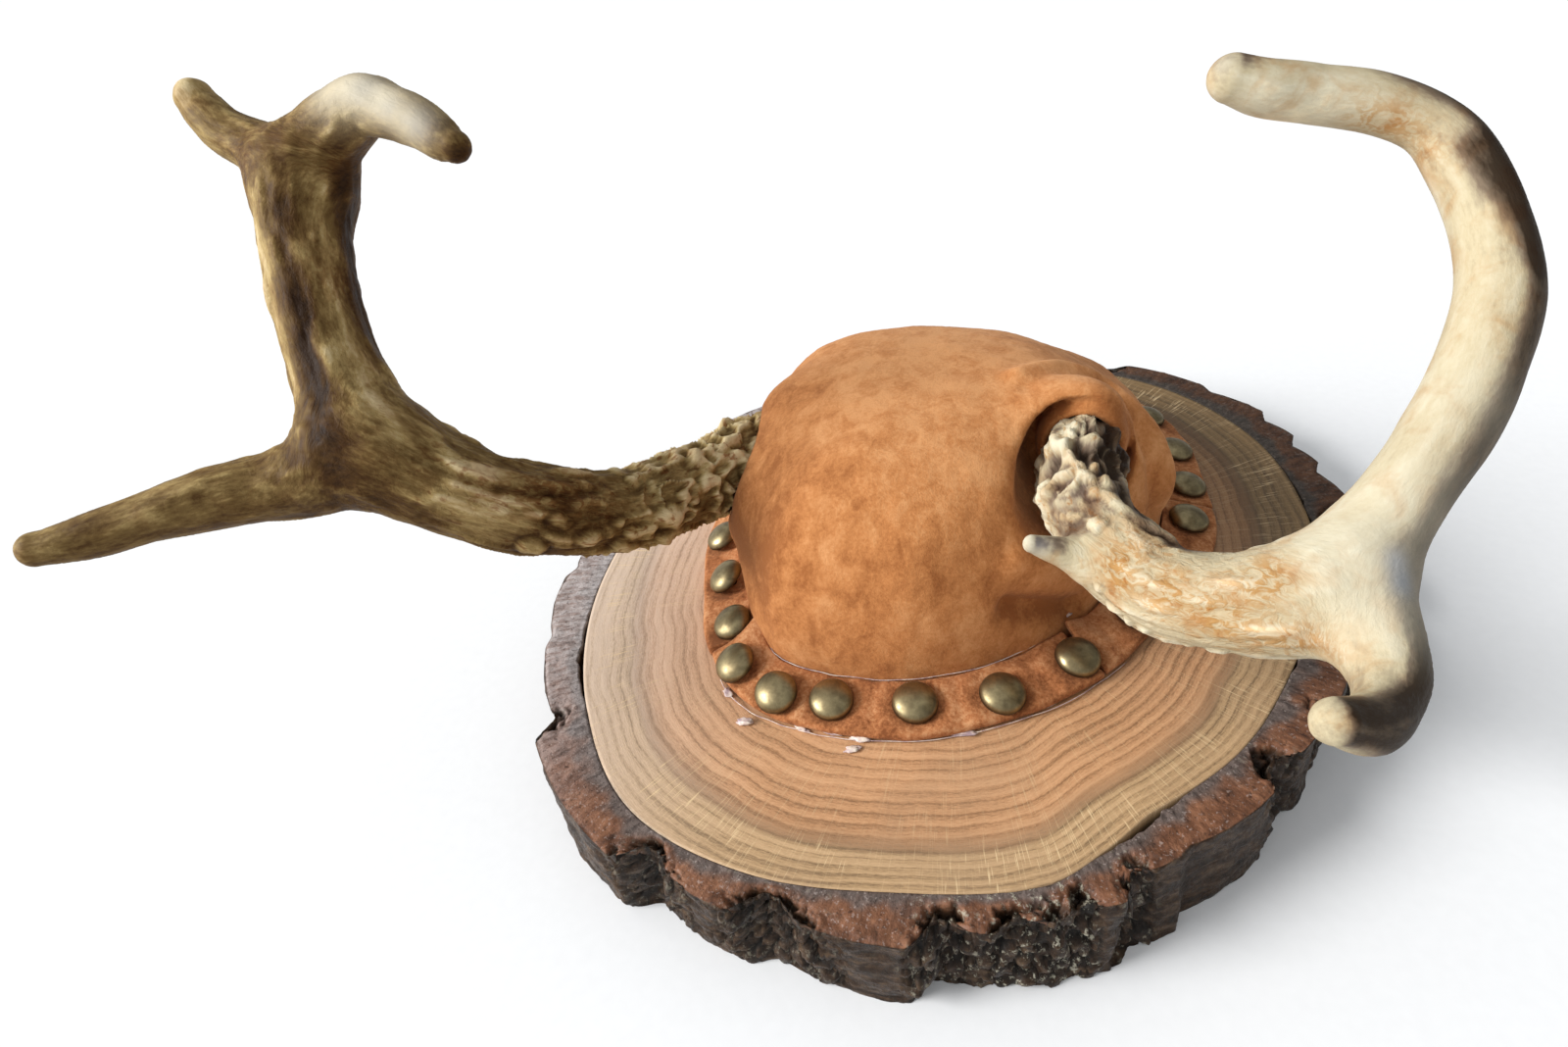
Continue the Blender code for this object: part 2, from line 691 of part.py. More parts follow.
def left_antler():
    antler = shaped_antler("left_antler", LEFT_BRANCHES, LEFT_BURR, 3, LEFT_TRIANGLES)
    ends = {
        "beam": LEFT_BRANCHES["beam"][0][:3],
        "forward_tine": LEFT_BRANCHES["forward_tine"][-1][:3],
        "upper_beam": LEFT_BRANCHES["beam"][15][:3],
        "back_tine": LEFT_BRANCHES["back_tine"][-1][:3],
        "inner_tine": LEFT_BRANCHES["inner_tine"][-1][:3],
    }
    part_at_forks(antler, "left", LEFT_CUTS, ends)


def right_antler():
    antler = shaped_antler("right_antler", RIGHT_BRANCHES, RIGHT_BURR, 5, RIGHT_TRIANGLES)
    ends = {
        "beam": RIGHT_BRANCHES["beam"][0][:3],
        "forward_tine": RIGHT_BRANCHES["forward_tine"][-1][:3],
        "upper_beam": RIGHT_BRANCHES["beam"][-1][:3],
    }
    part_at_forks(antler, "right", RIGHT_CUTS, ends)


def main():
    clear_scene()
    slice_ = wood_slice()
    bark_ring()
    suede_cover()
    strips = suede_bands()
    for piece in (slice_, *strips):
        cut(piece, pin_holes())
    for number, (x, y, lean) in enumerate(TACKS, start=1):
        tack(f"tack_{number:02d}", x, y, lean)
    left_antler()
    right_antler()


main()
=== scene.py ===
"""A pair of deer antlers mounted on an oak log slice, with a tacked suede cover between the burrs.

Lengths in this file are millimetres, turned into metres when a mesh is made. The origin is the middle
of the slice's flat back, +Z is up from it, and -Y is the way the antlers reach forward.
"""

import math

import bmesh
import bpy
import numpy as np
from mathutils import Matrix, Vector


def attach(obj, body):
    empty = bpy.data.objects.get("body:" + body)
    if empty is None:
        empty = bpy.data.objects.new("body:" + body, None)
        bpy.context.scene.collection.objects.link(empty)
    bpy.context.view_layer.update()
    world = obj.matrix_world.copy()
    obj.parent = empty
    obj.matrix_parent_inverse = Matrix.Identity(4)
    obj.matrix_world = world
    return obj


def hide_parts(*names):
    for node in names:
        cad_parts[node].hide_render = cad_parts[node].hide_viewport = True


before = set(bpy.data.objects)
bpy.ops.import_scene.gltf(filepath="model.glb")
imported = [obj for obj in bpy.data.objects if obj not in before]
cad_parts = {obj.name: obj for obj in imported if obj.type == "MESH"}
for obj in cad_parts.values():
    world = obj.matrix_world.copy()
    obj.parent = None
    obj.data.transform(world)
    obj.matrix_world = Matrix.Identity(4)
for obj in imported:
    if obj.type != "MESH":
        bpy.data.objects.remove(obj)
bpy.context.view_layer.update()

MM = 0.001
# The gap between pieces that lie on each other
GAP = 0.3

# The view: where the lens is, and which ways are right and up in the picture
CAMERA_PLACE = (24.1, -197.7, 191.0)
CAMERA_RIGHT = (0.9603, 0.2493, -0.1249)
CAMERA_UP = (-0.0563, 0.6121, 0.7888)
CAMERA_LENS = 20.25
SUN_FROM = (-0.83, -0.36, 0.50)
SUN_SPREAD = 26.0
SUN_STRENGTH = 4.0
SKY_NEAR = 0.95
SKY_FAR = 0.05
SKY_COLOUR = (0.94, 0.97, 1.0)
FLOOR_HALF = 30.0

# The log slice. The outlines of its wood and of its dark heartwood are (degrees round from +X, radius).
# Each plate of its bark is (first degree, last degree, radius at the top, radius at the bottom), with a
# fissure before the next one.
SLICE_THICK = 22.0
SUEDE_FOOT = SLICE_THICK + GAP
WOOD_COLUMNS = 900
# The radius of the circle on which noise that goes round with the bark is taken
POLAR_REACH = 100.0
WOOD_EDGE = [
    (0, 96), (20, 105), (40, 116), (60, 122.5), (80, 120), (100, 114), (120, 110), (140, 108),
    (160, 105.5), (180, 103), (200, 105), (220, 109), (237, 113), (254, 109.5), (270, 104), (288, 101.5),
    (295, 97), (304, 92), (320, 91), (340, 90.5),
]
HEART_EDGE = [
    (0, 82), (20, 91), (40, 102), (60, 110), (80, 108), (100, 102), (120, 98), (140, 96), (160, 93),
    (180, 90), (207, 91.5), (230, 99), (250, 98.5), (270, 94.5), (288, 91.5), (298, 84.5), (310, 82),
    (322, 81), (335, 78.5),
]
HEART_RING = 90.0
SAP_RINGS = 14.0
RING_PITCH = 2.8
BARK_PLATES = [
    (3, 15, 111, 112), (19, 27, 119, 118), (28, 34, 122.5, 121.5), (35, 41, 127, 126), (42, 50, 131, 129),
    (53, 66, 133, 132), (71, 80, 129.5, 128), (84, 97, 125, 126), (100, 108, 121, 121),
    (113, 127, 118.5, 119.5), (130, 143, 117, 116), (147, 156, 115, 116.5), (160, 172, 115.5, 114),
    (175, 186, 115, 115), (189, 201, 117, 116.5), (204, 217.5, 118, 117), (219.5, 240.5, 124, 124),
    (246, 254.5, 119, 118.5), (261, 273, 115.5, 116), (278, 281.5, 111, 111), (284, 289, 109, 111.5),
    (291.5, 296, 108, 110.5), (297, 304, 103, 107), (305, 319, 102, 104), (325.5, 333, 100.5, 101),
    (337, 347, 102, 101), (350.5, 359, 106, 107),
]
FISSURE_DEPTH = 4.0
FISSURE_FOOT = 1.4
WIDE_FISSURE = 5.0
BARK_LEAST = 3.0
# (degrees, half width in degrees, width) of the places where the bark has parted from the wood
BARK_CRACKS = [(208, 9, 1.5), (303, 6, 1.7), (20, 9, 1.0), (285, 3, 0.5), (345, 5, 0.9), (60, 8, 0.8)]
# How much further out the middle of a plate stands than its ends
PLATE_CROWN = 0.6
BARK_COLUMNS = 1440
# (degrees, half width in degrees, depth) of the pits broken into the bark's top face
BARK_PITS = [
    (218.5, 1.6, 4), (243.5, 3.4, 6), (258.5, 4.6, 5), (275.8, 2.6, 6), (282.8, 2, 5), (287, 2.6, 3.5),
    (290.5, 1.4, 5), (297.5, 2, 3), (322.5, 2.8, 5), (335, 1, 3), (348.5, 2, 4), (17, 2, 4), (68, 2.4, 4),
    (110.5, 2.2, 5), (145, 2, 4), (173, 1.4, 4),
]
LICHEN_PLACE = 285.0
LICHEN_REACH = 11.0

# The suede cover. The outline is the outer edge of the band round its foot, counterclockwise.
BAND_OUTLINE = [
    (72, 12), (73, 38), (69, 66), (55, 90), (28, 100), (-5, 100), (-38, 92), (-60, 74), (-72, 48),
    (-75, 20), (-73, -4), (-67, -24), (-58, -45), (-44, -61), (-22, -67), (3, -65), (26, -54), (46, -36),
    (61, -13),
]
BAND_WIDTH = 14.5
BAND_THICK = 2.0
BAND_RISE = 3.0
BAND_ROUND = 470.0
COVER_CENTRE = (0.0, 14.0)
COVER_PEAK = (-3.0, 5.0)
COVER_HEIGHT = 56.0
COVER_POWER = 2.6
COVER_VOXEL = 1.05
COVER_SKIN = 1.3
COVER_COLUMNS = 200
SOCKET_SIDES = 64
HOLE_SIDES = 48
# (x, y, z, rise, spread) of the humps where the suede rides over the bone under each burr
COVER_HUMPS = [
    (42, -2, 72, 3, 18), (-50, 5, 62, 2, 18), (38, 58, 66, -7, 26), (-44, 46, 60, 3.5, 20),
    (57, 10, 48, 6, 16), (34, 1, 75, 8.5, 12.5), (-52, -15, 50, 6.5, 13), (-46, 14, 68, 3, 12),
]
# (path, spread, rise) of the soft folds and tucks in the cover
COVER_FOLDS = [
    ([(18, 9, 77), (28, 19, 75), (40, 24, 68), (50, 14, 62), (57, 8, 48), (61, 8, 35)], 3.4, 2.4),
    ([(21, 3, 76), (29, 12, 75), (41, 17, 68), (48, 7, 63), (54, 1, 50), (57, 0, 38)], 2.4, -1.8),
    ([(19, -38, 42), (25, -34, 38), (34, -24, 31)], 3.6, -6.0),
    ([(22, -36, 54), (31, -30, 48), (38, -21, 42)], 4.0, 1.6), ([(-60, 2, 42), (-57, -12, 40)], 9.0, 3.4),
    ([(-52, -26, 38), (-46, -38, 34)], 6.0, 1.6),
]
# (x, y, z, spread) of the small dark stains
COVER_STAINS = [(4, -36, 36, 1.2), (14, -38, 28, 1.0)]
# Where the band's strips meet, as shares of the way round, and how high each strip's first corner is lifted
BAND_JOINTS = [0.035, 0.36, 0.636, 0.885]
BAND_NAMES = ["suede_band_back", "suede_band_left", "suede_band_front", "suede_band_right"]
CORNER_LIFTS = [0.0, 0.0, 6.0, 3.0]
CORNER_REACH = 11.0
BAND_PARTING = 0.6
BAND_STEP = 0.8
# The share of the way round over which the outline's direction is taken, and how many places a tack is
# looked for at
OUTLINE_STEP = 0.004
OUTLINE_PLACES = 400

# Dried glue: (first share, last share, inset, height) of the threads, and the lumps as
# (x, y, z, half length, half width, half height, turn in degrees)
GLUE_THREAD_RADIUS = 0.12
GLUE_THREAD_STEPS = 90
GLUE_THREADS = [(0.65, 0.87, 14.3, 27.5), (0.655, 0.90, -0.5, 22.5)]
GLUE_LUMPS = [
    (-37.6, -43.5, 27.2, 3.6, 1.3, 0.5, -35), (-20.7, -48.5, 27.4, 2.2, 1.0, 0.4, -10),
    (-15.6, -48.8, 27.4, 2.0, 0.9, 0.4, 0), (32.6, -25.4, 28, 2.6, 1.2, 0.5, 40),
    (-19.9, -66.0, 22.5, 4.5, 1.6, 0.6, -8), (-12.5, -67.0, 22.5, 3.2, 1.7, 0.6, 5),
    (-14.0, -70.5, 22.4, 2.6, 1.1, 0.5, 20), (10.9, -62.0, 22.5, 4.6, 1.1, 0.5, 12),
    (-48.9, -58.0, 22.5, 2.6, 1.4, 0.6, -50), (-42, -66.7, 22.6, 2.6, 1.4, 0.8, 10),
    (-27.5, -66.5, 22.4, 2.6, 0.9, 0.5, -15), (30, -50.5, 22.4, 2.2, 0.8, 0.4, 35),
]

# The tacks: their places on the band, and how far each leans outward, in degrees. The rim's stations are
# (height, share of the head's radius).
TACK_SIDES = 48
TACK_HEAD_RADIUS = 5.55
TACK_HEAD_HEIGHT = 3.4
TACK_RIM = [(0.0, 0.8), (-0.05, 0.97), (0.12, 1.0), (0.4, 0.995)]
TACK_DOME_FOOT = 0.45
TACK_PIN_SIDE = 2.4
TACK_PIN_LENGTH = 11.0
TACK_PIN_TAPER = 4.5
TACK_PIN_TIP = 0.15
TACKS = [
    (-67, -2, 26), (-60, -21, 32), (-53, -38, 22), (-48, -52, 26), (-35, -60, 24), (-21, -60, 14),
    (-1, -58, 12), (19, -52, 14), (36, -38, 14), (51, -20, 12), (61, 0, 14), (66, 20, 14), (67, 37, 14),
    (65, 56, 12), (58, 75, 14), (41, 88, 12), (20, 93, 12), (-3, 93, 14), (-25, 89, 12), (-45, 79, 12),
    (-59, 62, 14), (-67, 42, 12), (-69, 20, 14),
]

# The antlers: (x, y, z, radius) along the middle of each branch
LEFT_BRANCHES = {
    "beam": [
        (-41, 25, 48, 8.3), (-45, 20, 49.2, 8.6), (-48, 16.5, 50, 9.6), (-52, 11, 51, 11),
        (-58, 1, 53.5, 11), (-66, -16, 57, 10.6), (-75, -33, 61.5, 10.4), (-82, -44, 68, 10.5),
        (-89, -53, 75, 11.1), (-97, -58.8, 81.7, 10.9), (-106, -61.4, 88.1, 11.4),
        (-114.5, -62.5, 95, 11.6), (-120.5, -63.2, 99, 11),
    ],
    "upper_beam": [
        (-117, -63, 97, 9.8), (-121, -60.5, 102.5, 10.4), (-124.5, -56.7, 108.5, 10),
        (-128.6, -52.3, 115.4, 9.3), (-132.2, -47.1, 122, 8.9), (-135.8, -40.4, 129, 9.1),
        (-139, -34, 135.5, 9.8), (-141.5, -27.3, 141, 10.3), (-143.5, -22.9, 145, 9.8),
    ],
    "forward_tine": [
        (-118, -63, 97.5, 9.6), (-129.3, -70.8, 95.1, 8.7), (-136, -75, 94.8, 7.4),
        (-143, -79.5, 95.6, 6.9), (-149.5, -84, 96, 6.3), (-157, -89.5, 96, 5.6),
        (-164.8, -95.3, 95.5, 5.2), (-171, -100, 95.8, 4.2), (-174, -102.2, 96.2, 3.6),
    ],
    "back_tine": [
        (-144, -23, 144, 8.6), (-149.8, -20.7, 148.2, 7.6), (-156, -19, 151.5, 6.0),
        (-163.3, -17.9, 154.6, 5.5), (-169.5, -15.5, 159, 5.1), (-171.8, -14.6, 161.8, 4.5),
    ],
    "inner_tine": [
        (-143, -23, 144.5, 8.8), (-137.1, -18.9, 151.5, 7.8), (-130.8, -17.4, 155.4, 7.4),
        (-124, -17, 158, 6.7), (-115.8, -19.1, 156.5, 5.8), (-107.8, -22.2, 154.3, 5.1),
        (-102, -24.5, 151.5, 4.4), (-98.8, -25.7, 150.3, 3.3),
    ],
}
RIGHT_BRANCHES = {
    "beam": [
        (33.8, 4, 64, 6.8), (34, -2, 64.7, 8.0), (34.2, -9, 65.4, 9.5), (33.6, -16, 65.4, 9.7),
        (34, -23, 65, 9.6), (39, -36, 63, 8.8), (48, -47, 60.5, 9.4), (57.5, -53, 62, 9.6),
        (67.5, -55.5, 64.5, 10.3), (75, -54.8, 66.8, 10), (81, -52.5, 69.5, 9),
    ],
    "upper_beam": [
        (78, -54, 68, 9), (82.5, -50.5, 71.5, 8.8), (86, -46, 75.5, 8.2), (91, -40, 81.3, 7.6),
        (97.6, -30.5, 87.2, 7.7), (104.3, -19, 94.9, 7.7), (108.9, -5.1, 105.1, 7.4),
        (107.3, 6.4, 115.3, 6.7), (103, 16, 124, 6.4), (97.3, 21.4, 129.9, 5.8), (87.1, 22.8, 134.4, 5.8),
        (74.6, 21.8, 137.4, 5.6), (65, 19.5, 139.8, 5.3), (58.4, 18.6, 142.2, 4.7),
    ],
    "brow_tine": [
        (43, -40, 60.5, 5), (37, -43, 61.5, 4.4), (31.5, -44, 63.8, 3.2), (27, -45, 66, 2.8),
        (24, -46, 67.7, 2.2),
    ],
    "forward_tine": [
        (79, -54, 68.3, 9), (83.2, -64, 66.5, 7.8), (84.2, -73.5, 65.7, 6.3), (81.5, -82, 66.6, 5.1),
        (76.7, -89, 69.8, 4.9), (70.3, -93.8, 75, 3.9),
    ],
}
# The burr is the knobby ring round each beam's root: (x, y, z), then the way the beam leaves it
LEFT_BURR = ((-51, 13, 50.7), (-0.58, -0.8, 0.15))
RIGHT_BURR = ((34.2, -6, 65.2), (0.02, -0.99, 0.1))
ANTLER_VOXEL = 0.66
FORK_FILL = 2.2
BRANCH_STEP = 0.7
BRANCH_SIDES = 24
# The rounded ends of a branch: how far out each ring lies, as shares of the radius there
BRANCH_CAP = (0.99, 0.9, 0.7, 0.4)
# The distance that stands for "far from any burr"
NO_BURR = 999.0
GRAIN_STRETCH = 3.0
# How many points are compared with a branch at a time
BATCH = 20000
# The hollows in the cover round the burrs: (place, way out, stations of (along, radius))
LEFT_SOCKET = (
    (-51, 13, 50.7), (-0.46, -0.87, 0.17),
    [(-15, 4), (-14.2, 9), (-13, 11.5), (-10, 12.3), (0, 12.8), (10, 12.2), (18, 11.5), (42, 11.5)],
)
RIGHT_SOCKET = (
    (33.4, -6, 64), (0.02, -0.99, 0.1),
    [(-15, 4), (-14.2, 9), (-13, 12), (-11, 13.4), (-6, 14.2), (0, 14.7), (10, 15), (42, 15)],
)
SOCKETS = (LEFT_SOCKET, RIGHT_SOCKET)
# (along from the burr, radius) of the suede drawn tight round the root of the right beam, and of the holes
# that the roots fill
COLLAR_SECTION = [(-18, 9.5), (-12, 10.5), (-8, 11.2), (-5, 11.4), (-2.5, 10.6)]
LEFT_HOLE_SECTION = [(-24, 9.5), (-8, 11), (0, 11.2)]
RIGHT_HOLE_SECTION = [(-18.5, 7.5), (-6, 7.9), (0, 8.7)]

# The looks of the two antlers. "rough" is the beam's roughness against the distance from its burr, and
# "crown" is the toothed ring there: (distance, half width, rise). "ridges" and "hollows" are
# (start, end, radius, rise or depth). "tone", "warm", "blue", "ivory" and "ash" are spots of colour,
# (x, y, z, spread, amount), and "tone_paths" are (path, spread, amount); the tone spots and paths hold the
# bone's own light and dark patches and also painted light and shade. The shade entry is (way, low, high,
# amount): painted shade on the faces that look that way. "softened" evens out the relief's colours in the
# ash.
LEFT_STYLE = {
    "seed": 70, "rough": ([0, 55, 95, 125, 200], [1.0, 0.95, 0.75, 0.5, 0.4]), "upper_rough": 0.4,
    "tine_rough": 0.25, "depth": 1.0, "pearl": 1.8, "pearl_size": 4.2, "pearl_reach": (40.0, 90.0),
    "ridge_size": 3.7, "crown": (2.0, 5.0, 1.0), "painted_side_shade": ((0.55, -0.1, -0.8), 0.1, 0.9, -0.18),
    "ridges": [
        ((-63, -18, 67), (-63, -19, 67), 2.6, 2.1), ((-58, -21, 63), (-59, -23, 63), 2.0, 1.5),
        ((-63, -30, 64), (-63, -30, 64), 1.6, 1.2), ((-61, -28, 61), (-61, -28, 61), 1.6, 1.3),
        ((-52, -9, 59), (-52, -10, 59), 2.0, 1.8), ((-55, -18, 58), (-55, -18, 58), 1.6, 1.2),
        ((-72, -36, 73), (-72, -38, 70), 1.6, 1.3), ((-58, -9, 65), (-57, -3, 65), 2.0, 1.3),
        ((-64, -35, 61), (-65, -38, 62), 3.0, 2.1), ((-68, -41, 61), (-71, -46, 63), 1.9, 1.2),
        ((-77, -54, 68), (-78, -55, 69), 2.4, 1.8), ((-80, -58, 75), (-81, -59, 77), 1.9, 1.1),
        ((-73, -48, 68), (-73, -48, 68), 1.7, 1.1), ((-67, -36, 55), (-67, -38, 56), 2.5, 1.8),
        ((-73, -45, 59), (-74, -48, 61), 2.2, 1.4), ((-86, -63, 72), (-87, -64, 73), 2.5, 1.6),
        ((-53, 6, 63), (-54, 12, 62), 1.6, 1.4), ((-52, -4, 62), (-53, 6, 61), 1.4, 1.2),
        ((-66, -20, 69), (-70, -28, 71), 1.3, 0.9), ((-60, -10, 66), (-64, -16, 68), 1.3, 0.9),
        ((-86, -57, 84), (-78, -46, 78), 1.2, 0.6), ((-96, -62, 90), (-86, -56, 84), 1.2, 0.5),
    ],
    "hollows": [
        ((-118, -73, 104), (-122, -68, 110), 5.5, 0.6), ((-122, -68, 110), (-127, -59, 122), 4.0, 1.0),
        ((-127, -59, 122), (-130, -51, 129), 3.6, 0.7), ((-90, -63, 88), (-88, -61, 87), 1.3, 0.8),
        ((-82, -57, 82), (-79, -55, 79), 1.5, 1.0), ((-78, -51, 79), (-76, -47, 77), 1.2, 0.7),
        ((-84, -60, 79), (-82, -60, 78), 1.3, 0.8), ((-96, -70, 80), (-104, -73, 86), 1.6, 0.5),
        ((-137, -40, 143), (-137, -38, 144), 2.0, 0.5),
    ],
    # Among these, the lighter spot on the beam at (-62, -22, 61) is painted light.
    "tone": [
        (-120, -76, 100, 12, -0.22), (-136, -33, 148, 9, -0.12), (-151, -24, 150, 6, -0.12),
        (-109, -61, 108, 6, -0.08), (-62, -22, 61, 24, 0.10), (-132, -45, 126, 15, -0.07),
        (-140, -28, 143, 12, -0.12), (-98, -70, 88, 8, 0.16), (-88, -66, 83, 7, 0.16),
        (-92, -68, 81, 6, 0.12), (-84, -59, 85, 4, -0.14), (-79, -54, 79, 4, -0.1),
        (-88, -62, 86, 3, -0.1), (-104, -72, 84, 7, -0.2), (-93, -67, 76, 6, -0.15),
        (-113, -75, 91, 7, -0.2), (-96, -29, 150, 3.5, -0.4), (-172, -15, 163, 4.5, 0.45),
        (-144, -87, 99, 1.6, -0.22), (-172, -102, 97, 4, 0.1), (-164, -97, 98, 6, -0.12),
        (-150, -86, 99, 9, -0.04), (-135, -75, 98, 9, -0.08),
    ],
    # The third path, a thin bright rim along the lit edge of the upper beam, is painted highlight, and the
    # fourth, a dark band down its other side, is painted shade.
    "tone_paths": [
        ([(-137, -40, 142), (-134, -47, 135.5), (-130, -53.5, 128.7), (-126.7, -58.8, 122),
          (-122.5, -64.5, 114), (-119, -70, 106)], 3.2, -0.24),
        ([(-134, -29, 147), (-131, -35, 140), (-128, -41.5, 134), (-124.5, -48, 127), (-120.5, -54, 120),
          (-114, -61, 111), (-107, -66, 105)], 3.6, 0.26),
        ([(-129, -64, 112.7), (-133, -60, 119.6), (-136.5, -54.5, 126), (-140, -48, 133),
          (-143, -41.5, 139.7), (-146, -35, 145)], 1.8, 0.26),
        ([(-120, -48.5, 116.5), (-123.6, -43, 123), (-127, -36.5, 130), (-130.5, -30, 136.6),
          (-133, -22, 143)], 5.5, -0.30),
    ],
    "warm": [
        (-140, -22, 152, 9, 0.5), (-127, -44, 128, 8, 0.6), (-133, -25, 148, 6, 0.5),
        (-151, -27, 152, 8, 0.5), (-84, -58, 84, 9, 0.7), (-76, -50, 76, 10, 0.6),
        (-113, -70, 100, 14, 0.3), (-92, -66, 88, 6, 0.3),
    ],
    "blue": [(-104, -28, 156, 4, 0.35), (-119, -22, 163, 4, 0.3), (-112, -25, 159, 3, 0.25)],
    "ivory": [
        (-130, -20, 161, 5, 0.6), (-122, -21, 163, 6, 0.9), (-114, -23, 160, 5, 0.8),
        (-107, -26, 156, 5, 0.7),
    ],
    "ash": [(-52, 4, 52, 14, 0.5)], "softened": 0.0,
}
RIGHT_STYLE = {
    "seed": 170, "rough": ([0, 35, 60, 78, 95, 200], [0.95, 0.85, 0.7, 0.4, 0.15, 0.10]),
    "upper_rough": 0.08, "tine_rough": 0.02, "depth": 0.75, "pearl": 1.0, "pearl_size": 3.0,
    "pearl_reach": (16.0, 34.0), "ridge_size": 3.6, "crown": (5.0, 6.0, 1.4),
    "painted_side_shade": ((0.97, 0.2, -0.05), -0.12, 0.40, -0.44),
    "ridges": [
        ((28, -14, 74), (29, -18, 74), 2.0, 2.2), ((31, -13, 75), (31, -14, 75), 1.5, 1.4),
        ((36, -16, 76), (36, -17, 76), 2.7, 2.6), ((36, -18, 76), (36, -26, 75), 1.5, 1.8),
        ((29, -19, 75), (33, -26, 75), 1.3, 1.9), ((26, -27, 71), (31, -27, 74), 1.6, 1.4),
        ((34, -28, 75), (35, -29, 74), 1.8, 1.5), ((39, -29, 73), (39, -30, 73), 2.0, 1.7),
        ((26, -28, 69), (26, -29, 69), 1.7, 1.8), ((32, -31, 74), (32, -31, 73), 1.6, 1.3),
        ((36, -32, 74), (36, -33, 73), 1.6, 1.3), ((28, -32, 71), (30, -32, 72), 1.2, 1.1),
        ((28, -35, 69), (29, -36, 68), 1.5, 1.0), ((31, -37, 69), (33, -38, 69), 1.3, 0.8),
        ((25, -33, 66), (26, -36, 66), 1.6, 1.2), ((36, -40, 70), (37, -41, 70), 1.5, 1.0),
        ((38, -33, 73), (42, -37, 71), 1.7, 1.2), ((42, -37, 71), (51, -42, 69), 1.7, 1.0),
        ((41, -53, 57), (41, -52, 57), 1.4, 0.9), ((44, -54, 55), (44, -54, 55), 1.5, 0.9),
        ((47, -56, 55), (47, -56, 55), 1.4, 0.9), ((51, -58, 54), (51, -58, 54), 1.5, 0.9),
        ((55, -60, 54), (55, -60, 54), 1.4, 0.8), ((38, -50, 60), (38, -50, 60), 1.3, 0.8),
        ((59, -61, 55), (60, -62, 56), 1.3, 0.7),
    ],
    "hollows": [
        ((27, -20, 73), (26, -24, 71), 1.9, 2.4), ((33, -19, 75), (34, -23, 75), 1.6, 2.2),
        ((39, -19, 75), (40, -25, 73), 2.0, 2.4), ((28, -28, 71), (29, -29, 71), 1.6, 1.6),
        ((34, -34, 72), (34, -37, 71), 2.4, 1.5), ((26, -31, 67), (26, -32, 67), 1.5, 1.2),
        ((27, -37, 64), (33, -40, 67), 2.6, 1.3), ((42, -30, 72), (44, -34, 70), 1.6, 1.4),
    ],
    # Among these, the lighter spot near the upper beam's tip at (72, 19, 139) is painted light, and the dark
    # spots under the forward tine at (82, -86, 62) and (84, -78, 60) are painted shade.
    "tone": [
        (34, -12, 66, 13, -0.10), (34, -26, 68, 9, -0.06), (50, -46, 68, 8, -0.06),
        (80, -52, 76, 14, 0.06), (96, 13, 127, 9, -0.06), (72, 19, 139, 14, 0.30), (56, 17, 145, 5, -0.16),
        (72, -94, 75, 6, -0.12), (82, -86, 62, 9, -0.3), (84, -78, 60, 8, -0.2), (24, -46, 68, 3, 0.2),
        (99, -22, 101, 6, 0.06),
    ],
    # This dark patch on the upper beam is partly painted shade and partly the bone's own colour.
    "tone_paths": [
        ([(103.5, 11, 128.5), (106, 7.5, 125), (108.5, 4, 121.5), (111, 0, 117.5), (113, -5, 113)],
          3.6, -0.50),
    ],
    "warm": [
        (64, -61, 73, 5, 0.8), (68, -60, 75, 4, 0.7), (68, -66, 64, 5, 0.8), (56, -62, 67, 6, 0.7),
        (48, -58, 65, 5, 0.7), (73, -66, 68, 3, 0.5), (77, -69, 66, 4, 0.6), (44, -48, 70, 5, 0.7),
        (51, -56, 69, 5, 0.6), (60, -64, 65, 5, 0.6), (41, -52, 65, 4, 0.6), (72, -67, 65, 3, 0.6),
        (66, -55, 75, 3, 0.5), (84, 17, 133, 5, 0.6), (90, 17, 131.5, 5, 0.7), (96, 14, 127, 5, 0.5),
        (40, -47, 66, 4, 0.6), (43, -51, 63, 4, 0.6), (97, -38, 90, 7, 0.2), (103, -12, 104, 8, 0.15),
    ],
    "blue": [
        (86, -58, 79, 2.6, 0.6), (87, -61, 76, 2.6, 0.7), (56, 16.5, 145.5, 2.4, 0.22),
        (25, -47, 68, 2.5, 0.4),
    ],
    "ivory": [(82, -54, 76, 10, 0.45), (92, -46, 86, 9, 0.3), (100, -30, 95, 9, 0.25), (84, -66, 72, 8, 0.4)],
    "ash": [
        (34, -10, 66, 12, 0.65), (31, -25, 70, 8, 0.45), (37, -35, 71, 6, 0.45), (30, -33, 67, 7, 0.45),
        (44, -42, 72, 5, 0.4),
    ],
    "softened": 0.6,
}

# Colours of the materials. Each bone's list goes from its hollows to its knobs; stains and the ash are
# multiplied onto it, and the polish and the blue are laid over it.
OLIVE_STAIN = (0.42, 0.20, 0.10)
OLIVE_POLISH = (0.68, 0.60, 0.44)
IVORY_STAIN = (0.78, 0.50, 0.27)
IVORY_POLISH = (0.62, 0.57, 0.44)
BONE_BLUE = (0.30, 0.32, 0.35)
BONE_ASH = (0.43, 0.34, 0.40)
OLIVE_BONE = [
    (0.028, 0.013, 0.005), (0.080, 0.040, 0.012), (0.185, 0.115, 0.040), (0.39, 0.275, 0.112),
    (0.67, 0.53, 0.30),
]
IVORY_BONE = [
    (0.04, 0.026, 0.016), (0.19, 0.14, 0.095), (0.48, 0.405, 0.260), (0.58, 0.525, 0.385),
    (0.88, 0.77, 0.53),
]
